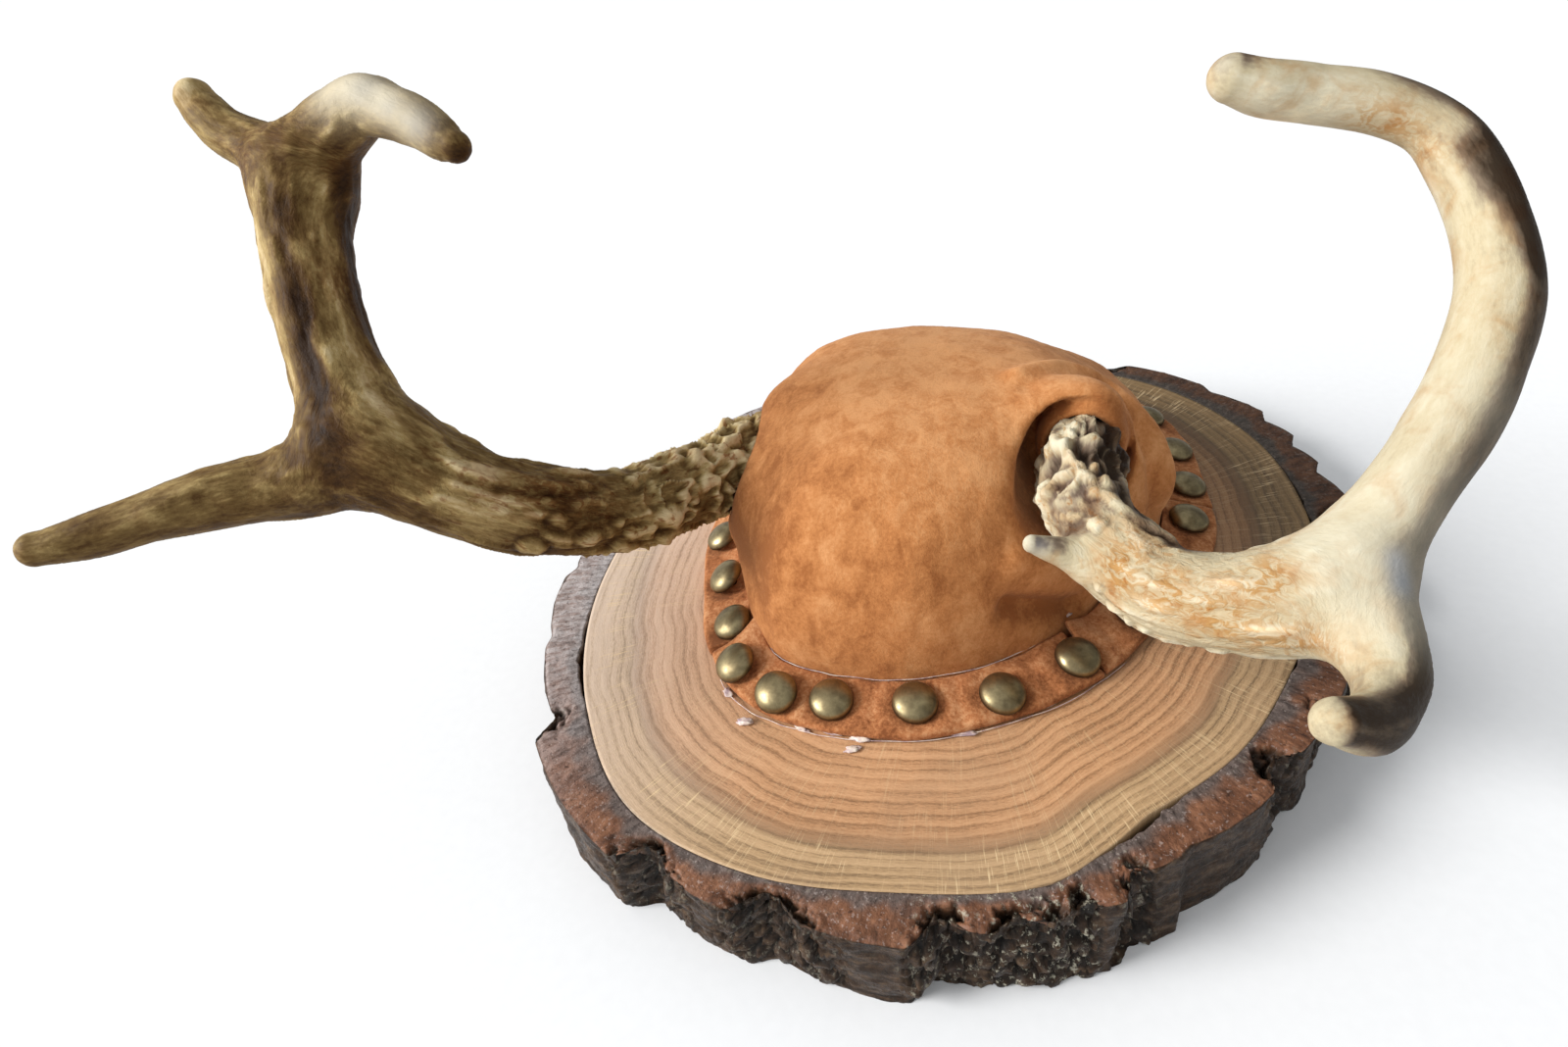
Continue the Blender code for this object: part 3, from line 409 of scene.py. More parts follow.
# Heartwood and sapwood at the same three shades, and how dark the wood is at shares of a ring's width
WOOD_SHADES = (0.1, 0.55, 1.0)
HEART_COLOURS = [(0.64, 0.355, 0.18), (0.51, 0.265, 0.125), (0.27, 0.135, 0.058)]
SAP_COLOURS = [(0.56, 0.365, 0.195), (0.44, 0.28, 0.14), (0.21, 0.13, 0.062)]
RING_SHADES = [(0.0, 1.0), (0.2, 0.6), (0.75, 0.0), (1.0, 0.8)]
# From dark to light
BARK_SIDE_COLOURS = [(0.007, 0.004, 0.002), (0.034, 0.017, 0.008), (0.11, 0.066, 0.036)]
BARK_TOP_COLOURS = [(0.050, 0.024, 0.015), (0.17, 0.072, 0.037), (0.30, 0.14, 0.075)]
CARAMEL_SUEDE = [(0.32, 0.11, 0.032), (0.50, 0.20, 0.066), (0.64, 0.30, 0.12)]
ORANGE_SUEDE = [(0.20, 0.065, 0.022), (0.42, 0.16, 0.060), (0.60, 0.30, 0.14)]
BRASS_COLOURS = [(0.15, 0.115, 0.06), (0.27, 0.215, 0.115), (0.42, 0.34, 0.18)]
GLUE_COLOURS = [(0.36, 0.25, 0.27), (0.62, 0.48, 0.44), (0.82, 0.70, 0.58)]


# Noise and other fields over points


def lattice(cells, seed):
    """A repeatable value from -1 to 1 for each whole-number cell."""
    x, y, z = (cells[:, k].astype(np.int64).astype(np.uint32) for k in range(3))
    mixed = x * np.uint32(374761393) + y * np.uint32(668265263) + z * np.uint32(1440662683)
    mixed = mixed + np.uint32((seed * 97 + 13) * 362437 % 2**32)
    mixed = (mixed ^ (mixed >> np.uint32(13))) * np.uint32(1274126177)
    mixed = mixed ^ (mixed >> np.uint32(16))
    return mixed / 2147483647.5 - 1.0


def noise(points, size, seed=0, octaves=1):
    """Smooth noise between -1 and 1 with bumps of about the given size."""
    total = np.zeros(len(points))
    weight = 1.0
    for octave in range(octaves):
        scaled = points / (size / 2**octave) + 17.3 * octave
        base = np.floor(scaled)
        part = scaled - base
        part = part * part * (3 - 2 * part)
        for corner in range(8):
            offset = np.array([corner & 1, corner >> 1 & 1, corner >> 2 & 1])
            share = np.prod(np.where(offset, part, 1 - part), axis=1)
            total += weight * share * lattice(base + offset, seed + octave)
        weight *= 0.5
    return total


def scattered(points, size, seed=0):
    """How far each point is from the nearest two of some scattered seeds, and the nearest one's number."""
    scaled = points / size
    base = np.floor(scaled)
    nearest = np.full(len(points), 9.0)
    second = nearest.copy()
    label = np.zeros(len(points))
    for k in range(27):
        cell = base + np.array([k % 3 - 1, k // 3 % 3 - 1, k // 9 - 1])
        place = cell + 0.5 + 0.42 * np.column_stack([lattice(cell, seed + n) for n in range(3)])
        away = np.linalg.norm(scaled - place, axis=1)
        closer = away < nearest
        second = np.where(closer, nearest, np.minimum(second, away))
        label = np.where(closer, lattice(cell, seed + 5), label)
        nearest = np.where(closer, away, nearest)
    return nearest, second, label


def step_up(value, low, high):
    """0 below low, 1 above high, and a smooth rise between."""
    t = np.clip((value - low) / (high - low), 0.0, 1.0)
    return t * t * (3 - 2 * t)


def bell(away, spread, power=2):
    """1 at no distance, and a smooth fall to nothing beyond the spread."""
    return np.exp(-((away / spread) ** power))


def far_from(points, place):
    """How far each point is from one place."""
    return np.linalg.norm(points - place, axis=1)


def from_ridge(points, start, end):
    """How far points are from a straight line between two places."""
    start = np.array(start, dtype=float)
    line = np.array(end, dtype=float) - start
    share = np.clip((points - start) @ line / max(line @ line, 1e-9), 0.0, 1.0)
    return np.linalg.norm(points - start - share[:, None] * line, axis=1)


def from_path(points, path):
    """How far points are from a line through several places."""
    return np.min([from_ridge(points, a, b) for a, b in zip(path, path[1:])], axis=0)


def blend_four(four, t):
    """A smooth curve from the second of four values to the third."""
    p, q, r, s = four
    return 0.5 * (2 * q + (r - p) * t + (2 * p - 5 * q + 4 * r - s) * t**2 + (3 * q - p - 3 * r + s) * t**3)


def closed_curve(points, shares):
    """Points of a smooth closed curve through the listed ones, at shares of the way round."""
    listed = np.array(points, dtype=float)
    at = (shares % 1.0) * len(listed)
    first = np.floor(at).astype(int)
    four = [listed[(first + k) % len(listed)] for k in (-1, 0, 1, 2)]
    return blend_four(four, (at - first)[:, None])


def edge_radius(edge, degrees):
    """The radius of an outline of (degrees, radius) points at each of some angles."""
    angles = np.array([e[0] for e in edge], dtype=float)
    radii = np.array([e[1] for e in edge], dtype=float)
    turned = degrees % 360.0
    after = np.searchsorted(angles, turned, side="right")
    four = [radii[(after + k) % len(edge)] for k in (-2, -1, 0, 1)]
    start = angles[after - 1]
    end = np.where(after == len(edge), 360.0 + angles[0], angles[after % len(edge)])
    return blend_four(four, (turned - start) / (end - start))


# Meshes and pieces


def grid_faces(rows, columns, closed_rows=False):
    """Quads over a grid of points numbered row by row, with each row closed on itself."""
    count = rows if closed_rows else rows - 1
    row, column = np.meshgrid(np.arange(count), np.arange(columns), indexing="ij")
    after = (row + 1) % rows
    beside = (column + 1) % columns
    here = row * columns
    there = after * columns
    quads = (here + column, here + beside, there + beside, there + column)
    return np.stack(quads, axis=-1).reshape(-1, 4)


def lofted(rows):
    """Points and faces of a closed body: rows of points joined in order, with a flat face at each end."""
    count = len(rows[0])
    faces = grid_faces(len(rows), count).tolist()
    faces.append(list(range(count))[::-1])
    faces.append(list(range((len(rows) - 1) * count, len(rows) * count)))
    return np.concatenate(rows), faces


def turns(sides):
    """Evenly spaced angles for one turn."""
    return np.arange(sides) * math.tau / sides


def turned_rows(section, sides):
    """Rings of points round the Z axis, from (height, radius) stations."""
    x = np.cos(turns(sides))
    y = np.sin(turns(sides))
    return [np.column_stack((radius * x, radius * y, np.full(sides, z))) for z, radius in section]


def gathered(bodies):
    """The points and faces of several bodies as those of one."""
    faces = []
    count = 0
    for points, corners in bodies:
        faces += [[corner + count for corner in face] for face in corners]
        count += len(points)
    return np.concatenate([points for points, _ in bodies]), faces


def new_object(name, points, faces):
    """An object made of points in millimetres and faces."""
    mesh = bpy.data.meshes.new(name)
    mesh.from_pydata((np.asarray(points) * MM).tolist(), [], [list(map(int, face)) for face in faces])
    made = bpy.data.objects.new(name, mesh)
    bpy.context.collection.objects.link(made)
    return made


def mesh_points(mesh):
    """The mesh's points, in millimetres."""
    flat = np.empty(len(mesh.vertices) * 3, dtype=np.float32)
    mesh.vertices.foreach_get("co", flat)
    return flat.reshape(-1, 3).astype(float) / MM


def move_points(mesh, points):
    """Put the mesh's points at new places, in millimetres."""
    mesh.vertices.foreach_set("co", (points * MM).astype(np.float32).ravel())
    mesh.update()


def mesh_normals(mesh):
    """The way out of the mesh at each point."""
    flat = np.empty(len(mesh.vertices) * 3, dtype=np.float32)
    mesh.vertex_normals.foreach_get("vector", flat)
    return flat.reshape(-1, 3).astype(float)


def write_values(mesh, **fields):
    """Store each field's number or vector per point, for the materials to read."""
    for name, values in fields.items():
        kind, key = ("FLOAT_VECTOR", "vector") if values.ndim == 2 else ("FLOAT", "value")
        layer = mesh.attributes.new(name, kind, "POINT")
        layer.data.foreach_set(key, values.astype(np.float32).ravel())


def apply_modifiers(piece):
    """Turn what the piece's modifiers make into its mesh."""
    seen = piece.evaluated_get(bpy.context.evaluated_depsgraph_get())
    shaped = bpy.data.meshes.new_from_object(seen)
    piece.modifiers.clear()
    piece.data = shaped


def face_out(mesh):
    """Turn every face to look outward."""
    bm = bmesh.new()
    bm.from_mesh(mesh)
    bmesh.ops.recalc_face_normals(bm, faces=bm.faces)
    bm.to_mesh(mesh)
    bm.free()


def finish_piece(piece, material, slot, *nodes):
    """Give a piece its material and its place in the model."""
    piece.data.materials.clear()
    piece.data.materials.append(material)
    piece.data.shade_smooth()
    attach(piece, "root")
    if nodes:
        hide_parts(*nodes)


def neighbour_mean(mesh, values):
    """Each point's mean of a value over the points that it shares an edge with."""
    ends = np.empty(len(mesh.edges) * 2, dtype=np.int32)
    mesh.edges.foreach_get("vertices", ends)
    a, b = ends.reshape(-1, 2).T
    count = np.bincount(a, minlength=len(values)) + np.bincount(b, minlength=len(values))
    total = np.zeros_like(values)
    for k in range(values.shape[1]):
        total[:, k] = np.bincount(a, values[b, k], len(values)) + np.bincount(b, values[a, k], len(values))
    return total / np.maximum(count, 1)[:, None]


def relax(mesh, strength, rounds):
    """Smooth the points, each by its own strength from 0 to 1."""
    points = mesh_points(mesh)
    for _ in range(rounds):
        points += (neighbour_mean(mesh, points) - points) * strength[:, None]
    move_points(mesh, points)


# Materials


class Paint:
    """One material and the nodes that make it."""

    def __init__(self, name, **constants):
        self.material = bpy.data.materials.new(name)
        self.material.use_nodes = True
        self.tree = self.material.node_tree
        self.shader = self.tree.nodes["Principled BSDF"]
        for key, value in constants.items():
            self.shader.inputs[key.replace("_", " ")].default_value = value

    def node(self, kind, inputs=(), **settings):
        """A shader node with its inputs and settings filled in."""
        made = self.tree.nodes.new("ShaderNode" + kind)
        for key, value in settings.items():
            setattr(made, key, value)
        for key, value in dict(inputs).items():
            self.feed(made.inputs[key], value)
        return made

    def feed(self, socket, value):
        """Link another node's output to an input, or set the input's value."""
        if isinstance(value, bpy.types.NodeSocket):
            self.tree.links.new(value, socket)
        else:
            socket.default_value = value

    def value(self, name):
        """A number stored on the mesh's points."""
        return self.node("Attribute", attribute_name=name).outputs["Fac"]

    def vector(self, name):
        """A vector stored on the mesh's points."""
        return self.node("Attribute", attribute_name=name).outputs["Vector"]

    def place(self):
        """The point's place in millimetres."""
        here = self.node("TexCoord").outputs["Object"]
        return self.stretch(here, (1 / MM, 1 / MM, 1 / MM))

    def stretch(self, vector, sizes):
        """A place scaled by its own factor along each axis."""
        return self.node("VectorMath", {0: vector, 1: sizes}, operation="MULTIPLY").outputs[0]

    def noise(self, vector, size, detail=3.0, rough=0.55, twist=0.0):
        """Cloudy noise from 0 to 1, with lumps of about the given size."""
        made = self.node("TexNoise", {"Vector": vector, "Scale": 1 / size, "Detail": detail})
        self.feed(made.inputs["Roughness"], rough)
        self.feed(made.inputs["Distortion"], twist)
        return made.outputs["Fac"]

    def ramp(self, value, *stops):
        """A colour for each value, from (value, colour) stops."""
        made = self.node("ValToRGB", {"Fac": value})
        ramp = made.color_ramp
        while len(ramp.elements) < len(stops):
            ramp.elements.new(0.5)
        for element, (at, colour) in zip(ramp.elements, sorted(stops)):
            element.position = at
            element.color = (*colour, 1.0)
        return made.outputs["Color"]

    def rise(self, value, low, high, to_low=0.0, to_high=1.0):
        """A smooth step of a value from one range to another."""
        inputs = {"Value": value, "From Min": low, "From Max": high, "To Min": to_low, "To Max": to_high}
        return self.node("MapRange", inputs, interpolation_type="SMOOTHSTEP").outputs["Result"]

    def math(self, operation, a, b=0.0, c=0.0):
        return self.node("Math", {0: a, 1: b, 2: c}, operation=operation).outputs[0]

    def times(self, a, b):
        return self.math("MULTIPLY", a, b)

    def weighed(self, a, a_weight, b, b_weight):
        """Two fields added by their weights."""
        return self.math("MULTIPLY_ADD", a, a_weight, self.times(b, b_weight))

    def varied(self, tone, field, amount):
        """A tone that a noise field between 0 and 1 makes darker and lighter."""
        return self.math("ADD", tone, self.times(self.math("SUBTRACT", field, 0.5), amount))

    def tinted(self, share, colour, tint):
        """A colour multiplied by a tint where the share is 1."""
        return self.mix(share, colour, tint, "MULTIPLY")

    def mix(self, share, a, b, blend="MIX"):
        """Colour b laid over colour a by the share."""
        made = self.node("Mix", data_type="RGBA", blend_type=blend)
        self.feed(made.inputs[0], share)
        for socket, colour in ((6, a), (7, b)):
            linked = isinstance(colour, bpy.types.NodeSocket)
            self.feed(made.inputs[socket], colour if linked else (*colour, 1.0))
        return made.outputs[2]

    def bump(self, height, distance, strength=1.0, below=None):
        """Small relief; the distance is millimetres from the lowest point to the highest."""
        inputs = {"Height": height, "Distance": distance * MM, "Strength": strength}
        if below is not None:
            inputs["Normal"] = below
        return self.node("Bump", inputs).outputs["Normal"]

    def finish(self, colour=None, roughness=None, normal=None):
        """Feed what was made to the surface."""
        for key, value in (("Base Color", colour), ("Roughness", roughness), ("Normal", normal)):
            if value is not None:
                self.feed(self.shader.inputs[key], value)
        return self.material


def antler_material(name, palette, stain, polish, speckle, wrinkle, cloudy):
    """Bone that is dark in its hollows and pale on its knobs, with fine grain, pits and stained patches."""
    paint = Paint(name, Roughness=0.5, Specular_IOR_Level=0.06)
    grain = paint.vector("grain")
    rough = paint.value("rough")
    fine = paint.noise(grain, 0.8, 4.0, 0.65)
    broad = paint.noise(grain, 3.2, 4.0, 0.6)
    pits = paint.noise(paint.stretch(grain, (1.5, 1.0, 1.0)), 1.7, 3.0, 0.6, 0.4)
    tone = paint.math("MULTIPLY_ADD", paint.value("relief"), 0.32, 0.5)
    # The tone attribute holds the bone's own patches and also painted light and shade.
    tone = paint.math("ADD", tone, paint.value("tone"))
    tone = paint.varied(paint.varied(tone, fine, speckle), broad, 2 * speckle)
    colour = paint.ramp(tone, *zip((0.0, 0.25, 0.48, 0.7, 0.95), palette))
    pitted = paint.times(paint.rise(pits, 0.56, 0.68), rough)
    colour = paint.tinted(paint.times(pitted, 0.8), colour, stain)
    patch = paint.rise(paint.noise(paint.place(), 8.0, 4.0, 0.55, 0.5), 0.46, 0.68)
    colour = paint.tinted(paint.times(patch, cloudy), colour, stain)
    worm = paint.noise(paint.stretch(grain, (2.0, 1.0, 1.0)), 1.7, 3.0, 0.6, 1.2)
    warm = paint.times(paint.value("warm"), paint.rise(worm, 0.4, 0.58, 0.25, 1.0))
    colour = paint.tinted(warm, colour, stain)
    colour = paint.mix(paint.value("ivory"), colour, polish)
    colour = paint.mix(paint.value("blue"), colour, BONE_BLUE)
    colour = paint.tinted(paint.value("ash"), colour, BONE_ASH)
    relief = paint.bump(fine, 0.3, 0.5)
    relief = paint.bump(paint.times(worm, rough), wrinkle, 0.8, relief)
    return paint.finish(colour, paint.rise(fine, 0.2, 0.8, 0.45, 0.62), relief)


def wood_material():
    """Sawn end grain: rings, darker pore lines, pale rays, a dark line round the heartwood, and painted sheen
    and shadow.
    """
    paint = Paint("oak_end_grain", Roughness=0.5, Specular_IOR_Level=0.45)
    polar = paint.vector("polar")
    wobble = paint.noise(paint.stretch(polar, (1.0, 1.0, 0.4)), 17.0, 1.0, 0.5)
    at = paint.math("ADD", paint.value("ring"), paint.times(wobble, 3.4))
    ragged = paint.noise(paint.stretch(polar, (1.0, 1.0, 2.0)), 1.6, 3.0, 0.6)
    at = paint.math("MULTIPLY_ADD", ragged, 0.7, at)
    late = paint.math("FRACT", paint.math("DIVIDE", at, RING_PITCH))
    late = paint.ramp(late, *((share, (grey,) * 3) for share, grey in RING_SHADES))
    fine = paint.math("FRACT", paint.math("DIVIDE", at, RING_PITCH * 0.31))
    fine = paint.rise(fine, 0.5, 1.0)
    broad = paint.rise(paint.noise(paint.stretch(polar, (0.06, 0.06, 1.0)), 4.5, 3.0, 0.6), 0.35, 0.65)
    dashes = paint.noise(paint.stretch(polar, (0.5, 0.5, 2.4)), 0.7, 3.0, 0.65)
    shade = paint.weighed(late, 0.62, broad, 0.36)
    shade = paint.math("MULTIPLY_ADD", fine, 0.16, shade)
    shade = paint.varied(shade, dashes, 1.2)
    heart = paint.ramp(shade, *zip(WOOD_SHADES, HEART_COLOURS))
    sap = paint.ramp(shade, *zip(WOOD_SHADES, SAP_COLOURS))
    colour = paint.mix(paint.value("sap"), heart, sap)
    line = paint.times(paint.value("ring_line"), paint.rise(dashes, 0.2, 0.6, 1.0, 0.6))
    colour = paint.mix(line, colour, (0.15, 0.10, 0.055))
    cloud = paint.noise(paint.place(), 26.0, 4.0, 0.6)
    colour = paint.mix(paint.rise(cloud, 0.45, 0.75, 0.0, 0.3), colour, (0.33, 0.21, 0.12))
    # Painted sheen: the wood is made paler and pinker towards the left.
    pale = paint.times(paint.value("pale"), paint.rise(shade, 0.2, 1.1, 0.75, 0.35))
    colour = paint.mix(pale, colour, (0.66, 0.53, 0.43))
    # Painted shadow: the wood is darker towards the right and back, where the cover's shadow lies.
    colour = paint.tinted(paint.times(paint.value("dusk"), 0.9), colour, (0.35, 0.32, 0.21))
    rays = paint.noise(paint.stretch(polar, (3.0, 3.0, 0.10)), 1.0, 2.0, 0.5)
    spread = paint.rise(paint.noise(polar, 14.0, 2.0, 0.5), 0.40, 0.58, 0.2, 1.0)
    rays = paint.times(paint.rise(rays, 0.57, 0.68), spread)
    rays = paint.times(rays, paint.rise(paint.value("sap"), 0.0, 1.0, 0.3, 0.75))
    colour = paint.mix(rays, colour, (0.74, 0.55, 0.31))
    relief = paint.bump(dashes, 0.16, 0.5)
    return paint.finish(colour, paint.rise(dashes, 0.3, 0.8, 0.42, 0.62), relief)


def bark_material():
    """Bark with a sawn, varnished rust-brown top, grey next to the wood, dark crumbly sides, and painted
    sheen, shade and shadow.
    """
    paint = Paint("oak_bark", Roughness=0.5, Specular_IOR_Level=0.2, Coat_Weight=0.06, Coat_Roughness=0.22)
    place = paint.place()
    polar = paint.vector("polar")
    chunks = paint.noise(place, 4.0, 6.0, 0.7)
    layers = paint.noise(paint.stretch(place, (0.5, 0.5, 2.2)), 2.4, 4.0, 0.65)
    side = paint.weighed(chunks, 0.5, layers, 0.5)
    side = paint.ramp(side, *zip((0.36, 0.5, 0.64), BARK_SIDE_COLOURS))
    streak = paint.noise(paint.stretch(polar, (1.2, 1.2, 0.3)), 1.5, 5.0, 0.7)
    patch = paint.noise(place, 7.0, 3.0, 0.6)
    rust = paint.weighed(streak, 0.55, patch, 0.45)
    top = paint.ramp(rust, *zip((0.33, 0.5, 0.66), BARK_TOP_COLOURS))
    inner = paint.ramp(streak, (0.3, (0.050, 0.036, 0.031)), (0.7, (0.19, 0.145, 0.125)))
    top = paint.mix(paint.value("inner"), top, inner)
    # Painted sheen: pale lilac grey laid over the top towards the left.
    haze = paint.times(paint.value("haze"), paint.rise(streak, 0.35, 0.62, 0.35, 1.0))
    top = paint.mix(paint.times(haze, 0.9), top, (0.47, 0.43, 0.42))
    speck = paint.rise(paint.noise(place, 0.8, 2.0, 0.6), 0.60, 0.68)
    top = paint.mix(paint.times(speck, 0.35), top, (0.50, 0.42, 0.38))
    dent = paint.rise(paint.noise(place, 1.1, 3.0, 0.65), 0.42, 0.34)
    top = paint.mix(paint.times(dent, 0.6), top, (0.030, 0.016, 0.012))
    colour = paint.mix(paint.value("top"), side, top)
    # Painted shade: near black in the pits and in the sides' hollows.
    colour = paint.mix(paint.value("pit"), colour, (0.010, 0.008, 0.006))
    lichen = paint.rise(paint.noise(place, 1.8, 5.0, 0.75), 0.55, 0.64)
    colour = paint.mix(paint.times(lichen, paint.value("crumb")), colour, (0.42, 0.39, 0.30))
    # Painted shadow: the bark is darker towards the right and back.
    colour = paint.tinted(paint.value("dusk"), colour, (0.42, 0.42, 0.38))
    fine = paint.noise(place, 0.9, 4.0, 0.7)
    relief = paint.bump(fine, 0.5, 0.7)
    relief = paint.bump(streak, 0.3, 0.5, relief)
    return paint.finish(colour, paint.rise(fine, 0.35, 0.7, 0.3, 0.7), relief)


def suede_material(name, palette, mottling):
    """Brushed leather: soft, with cloudy tone and a fine nap."""
    paint = Paint(name, Roughness=0.95, Sheen_Weight=0.2, Sheen_Roughness=0.5, Specular_IOR_Level=0.12)
    paint.shader.inputs["Sheen Tint"].default_value = (0.95, 0.62, 0.38, 1.0)
    place = paint.place()
    cloud = paint.noise(place, 24.0, 3.0, 0.6)
    brushed = paint.noise(paint.stretch(place, (1.0, 0.7, 0.7)), 5.0, 4.0, 0.6, 0.6)
    nap = paint.noise(place, 0.9, 4.0, 0.7)
    tone = paint.weighed(cloud, 0.6, brushed, 0.8)
    # The tone attribute adds painted light and shade: on the cover, shade in the sockets, tucks and sun's
    # side and light on the crown and folds; on the bands, shade round each tack.
    tone = paint.math("ADD", paint.math("SUBTRACT", tone, 0.22), paint.value("tone"))
    tone = paint.varied(tone, nap, mottling)
    colour = paint.ramp(tone, *zip((0.25, 0.48, 0.7), palette))
    colour = paint.mix(paint.value("stain"), colour, (0.07, 0.035, 0.04))
    relief = paint.bump(nap, 0.3, 0.5)
    relief = paint.bump(paint.noise(place, 0.45, 3.0, 0.7), 0.12, 0.5, relief)
    return paint.finish(colour, None, relief)


def brass_material():
    """Old brass: olive brown, smooth on the crown and dark round the rim."""
    paint = Paint("antique_brass", Metallic=0.95)
    place = paint.place()
    tarnish = paint.noise(place, 3.0, 4.0, 0.6)
    colour = paint.ramp(tarnish, *zip((0.3, 0.52, 0.75), BRASS_COLOURS))
    colour = paint.mix(paint.value("rim"), colour, (0.06, 0.045, 0.025))
    rough = paint.rise(tarnish, 0.3, 0.75, 0.46, 0.34)
    relief = paint.bump(paint.noise(place, 1.4, 3.0, 0.6), 0.06, 0.3)
    return paint.finish(colour, rough, relief)


def glue_material():
    """Dried glue: cloudy white threads with purple-grey lumps."""
    paint = Paint("dried_glue", Roughness=0.35, Specular_IOR_Level=0.5)
    cloud = paint.noise(paint.place(), 2.2, 3.0, 0.6)
    colour = paint.ramp(cloud, *zip((0.35, 0.5, 0.65), GLUE_COLOURS))
    relief = paint.bump(paint.noise(paint.place(), 0.7, 3.0, 0.6), 0.2, 0.5)
    return paint.finish(colour, None, relief)


def floor_material():
    """A pale floor with hardly any pattern."""
    paint = Paint("pale_floor", Roughness=0.9, Specular_IOR_Level=0.1)
    fleck = paint.noise(paint.place(), 3.0, 2.0, 0.5)
    colour = paint.ramp(fleck, (0.0, (0.82, 0.82, 0.82)), (1.0, (0.86, 0.86, 0.86)))
    return paint.finish(colour)


# The view, the light and the floor


def add_camera():
    """The camera, from its place and the ways right and up in its picture."""
    right = Vector(CAMERA_RIGHT).normalized()
    up = Vector(CAMERA_UP)
    up = (up - right * up.dot(right)).normalized()
    lens = bpy.data.cameras.new("camera")
    lens.lens = CAMERA_LENS
    lens.clip_start = 0.005
    lens.clip_end = 200.0
    camera = bpy.data.objects.new("camera", lens)
    turn = Matrix((right, up, right.cross(up))).transposed().to_4x4()
    camera.matrix_world = Matrix.Translation(Vector(CAMERA_PLACE) * MM) @ turn
    bpy.context.collection.objects.link(camera)
    bpy.context.scene.camera = camera


def add_sun():
    """A soft sun from the side that the photo's light comes from."""
    sun = bpy.data.lights.new("sun", "SUN")
    sun.energy = SUN_STRENGTH
    sun.angle = math.radians(SUN_SPREAD)
    lamp = bpy.data.objects.new("sun", sun)
    lamp.matrix_world = Vector(SUN_FROM).to_track_quat("Z", "Y").to_matrix().to_4x4()
    bpy.context.collection.objects.link(lamp)


def add_sky():
    """A sky that is brighter on the sun's side."""
    world = bpy.data.worlds.new("sky")
    world.use_nodes = True
    nodes = world.node_tree.nodes
    links = world.node_tree.links
    way = nodes.new("ShaderNodeTexCoord")
    toward = nodes.new("ShaderNodeVectorMath")
    toward.operation = "DOT_PRODUCT"
    toward.inputs[1].default_value = Vector(SUN_FROM).normalized()
    side = nodes.new("ShaderNodeMapRange")
    for key, value in (("From Min", -1.0), ("To Min", SKY_FAR), ("To Max", SKY_NEAR)):
        side.inputs[key].default_value = value
    links.new(way.outputs["Generated"], toward.inputs[0])
    links.new(toward.outputs["Value"], side.inputs["Value"])
    links.new(side.outputs["Result"], nodes["Background"].inputs["Strength"])
    nodes["Background"].inputs["Color"].default_value = (*SKY_COLOUR, 1.0)
    bpy.context.scene.world = world
    bpy.context.scene.view_settings.view_transform = "Standard"


def add_floor():
    """A wide floor under the slice."""
    half = FLOOR_HALF / MM
    corners = [(-half, -half, 0), (half, -half, 0), (half, half, 0), (-half, half, 0)]
    floor = new_object("floor", corners, [(0, 1, 2, 3)])
    floor.data.materials.append(floor_material())


# The log slice


def around(radii, degrees, z):
    """Points at radii and angles round the slice's middle, at a height."""
    angle = np.radians(degrees)
    return np.stack((radii * np.cos(angle), radii * np.sin(angle), np.broadcast_to(z, radii.shape)), axis=-1)


def on_circle(degrees, z):
    """Points on one circle round the slice's middle, for patterns that go round with the bark."""
    return around(np.full(len(degrees), POLAR_REACH), degrees, z)


def polar_values(mesh, points):
    """The place round the slice as a direction and a ring radius, which no seam crosses."""
    degrees = np.degrees(np.arctan2(points[:, 1], points[:, 0]))
    radius = np.hypot(points[:, 0], points[:, 1])
    edge = edge_radius(WOOD_EDGE, degrees)
    heart = edge_radius(HEART_EDGE, degrees)
    sap = (radius - heart) / (edge - heart)
    ring = np.where(sap > 0, HEART_RING + sap * SAP_RINGS, radius / heart * HEART_RING)
    write_values(mesh, polar=on_circle(degrees, ring))
    return degrees, radius, edge, ring


def wood_slice():
    """The sawn slice, with worn rings, and a line where the heartwood ends."""
    degrees = np.arange(WOOD_COLUMNS) * 360.0 / WOOD_COLUMNS
    edge = edge_radius(WOOD_EDGE, degrees)
    shares = np.concatenate(([0.02, 0.2, 0.4, 0.5], np.linspace(0.54, 1.0, 62)))
    rows = [around(edge * share, degrees, SLICE_THICK) for share in shares]
    rows += [around(edge, degrees, z) for z in (18.0, 9.0, 0.0)]
    rows += [around(edge * share, degrees, 0.0) for share in (0.97, 0.9, 0.75, 0.5, 0.25, 0.02)]
    points, faces = lofted(rows)
    piece = new_object("wood_slice_visual", points, faces)
    _, radius, edge, ring = polar_values(piece.data, points)
    flat = np.column_stack((points[:, 0], points[:, 1], ring))
    sawn = points[:, 2] > SLICE_THICK - 0.01
    worn = 0.04 * np.sin(ring * math.tau / RING_PITCH) + 0.07 * noise(flat, 6.0, 3, 2) - 0.08
    points[:, 2] += np.where(sawn & (radius < edge * 0.995), worn, 0.0)
    move_points(piece.data, points)
    past = ring - HEART_RING + 1.2 * noise(points, 22.0, 8, 2)
    write_values(
        piece.data,
        ring=ring,
        sap=step_up(past, -0.5, 1.5),
        ring_line=0.8 * bell(past, np.where(past < 0, 3.0, 1.3)),
        # painted sheen, paler towards the left
        pale=step_up(-points[:, 0], 25.0, 105.0),
        # painted shadow, darker towards the right and back
        dusk=step_up(0.8 * points[:, 0] + 0.5 * points[:, 1], 20.0, 95.0),
    )
    face_out(piece.data)
    finish_piece(piece, wood_material(), "wood", "wood_slice")


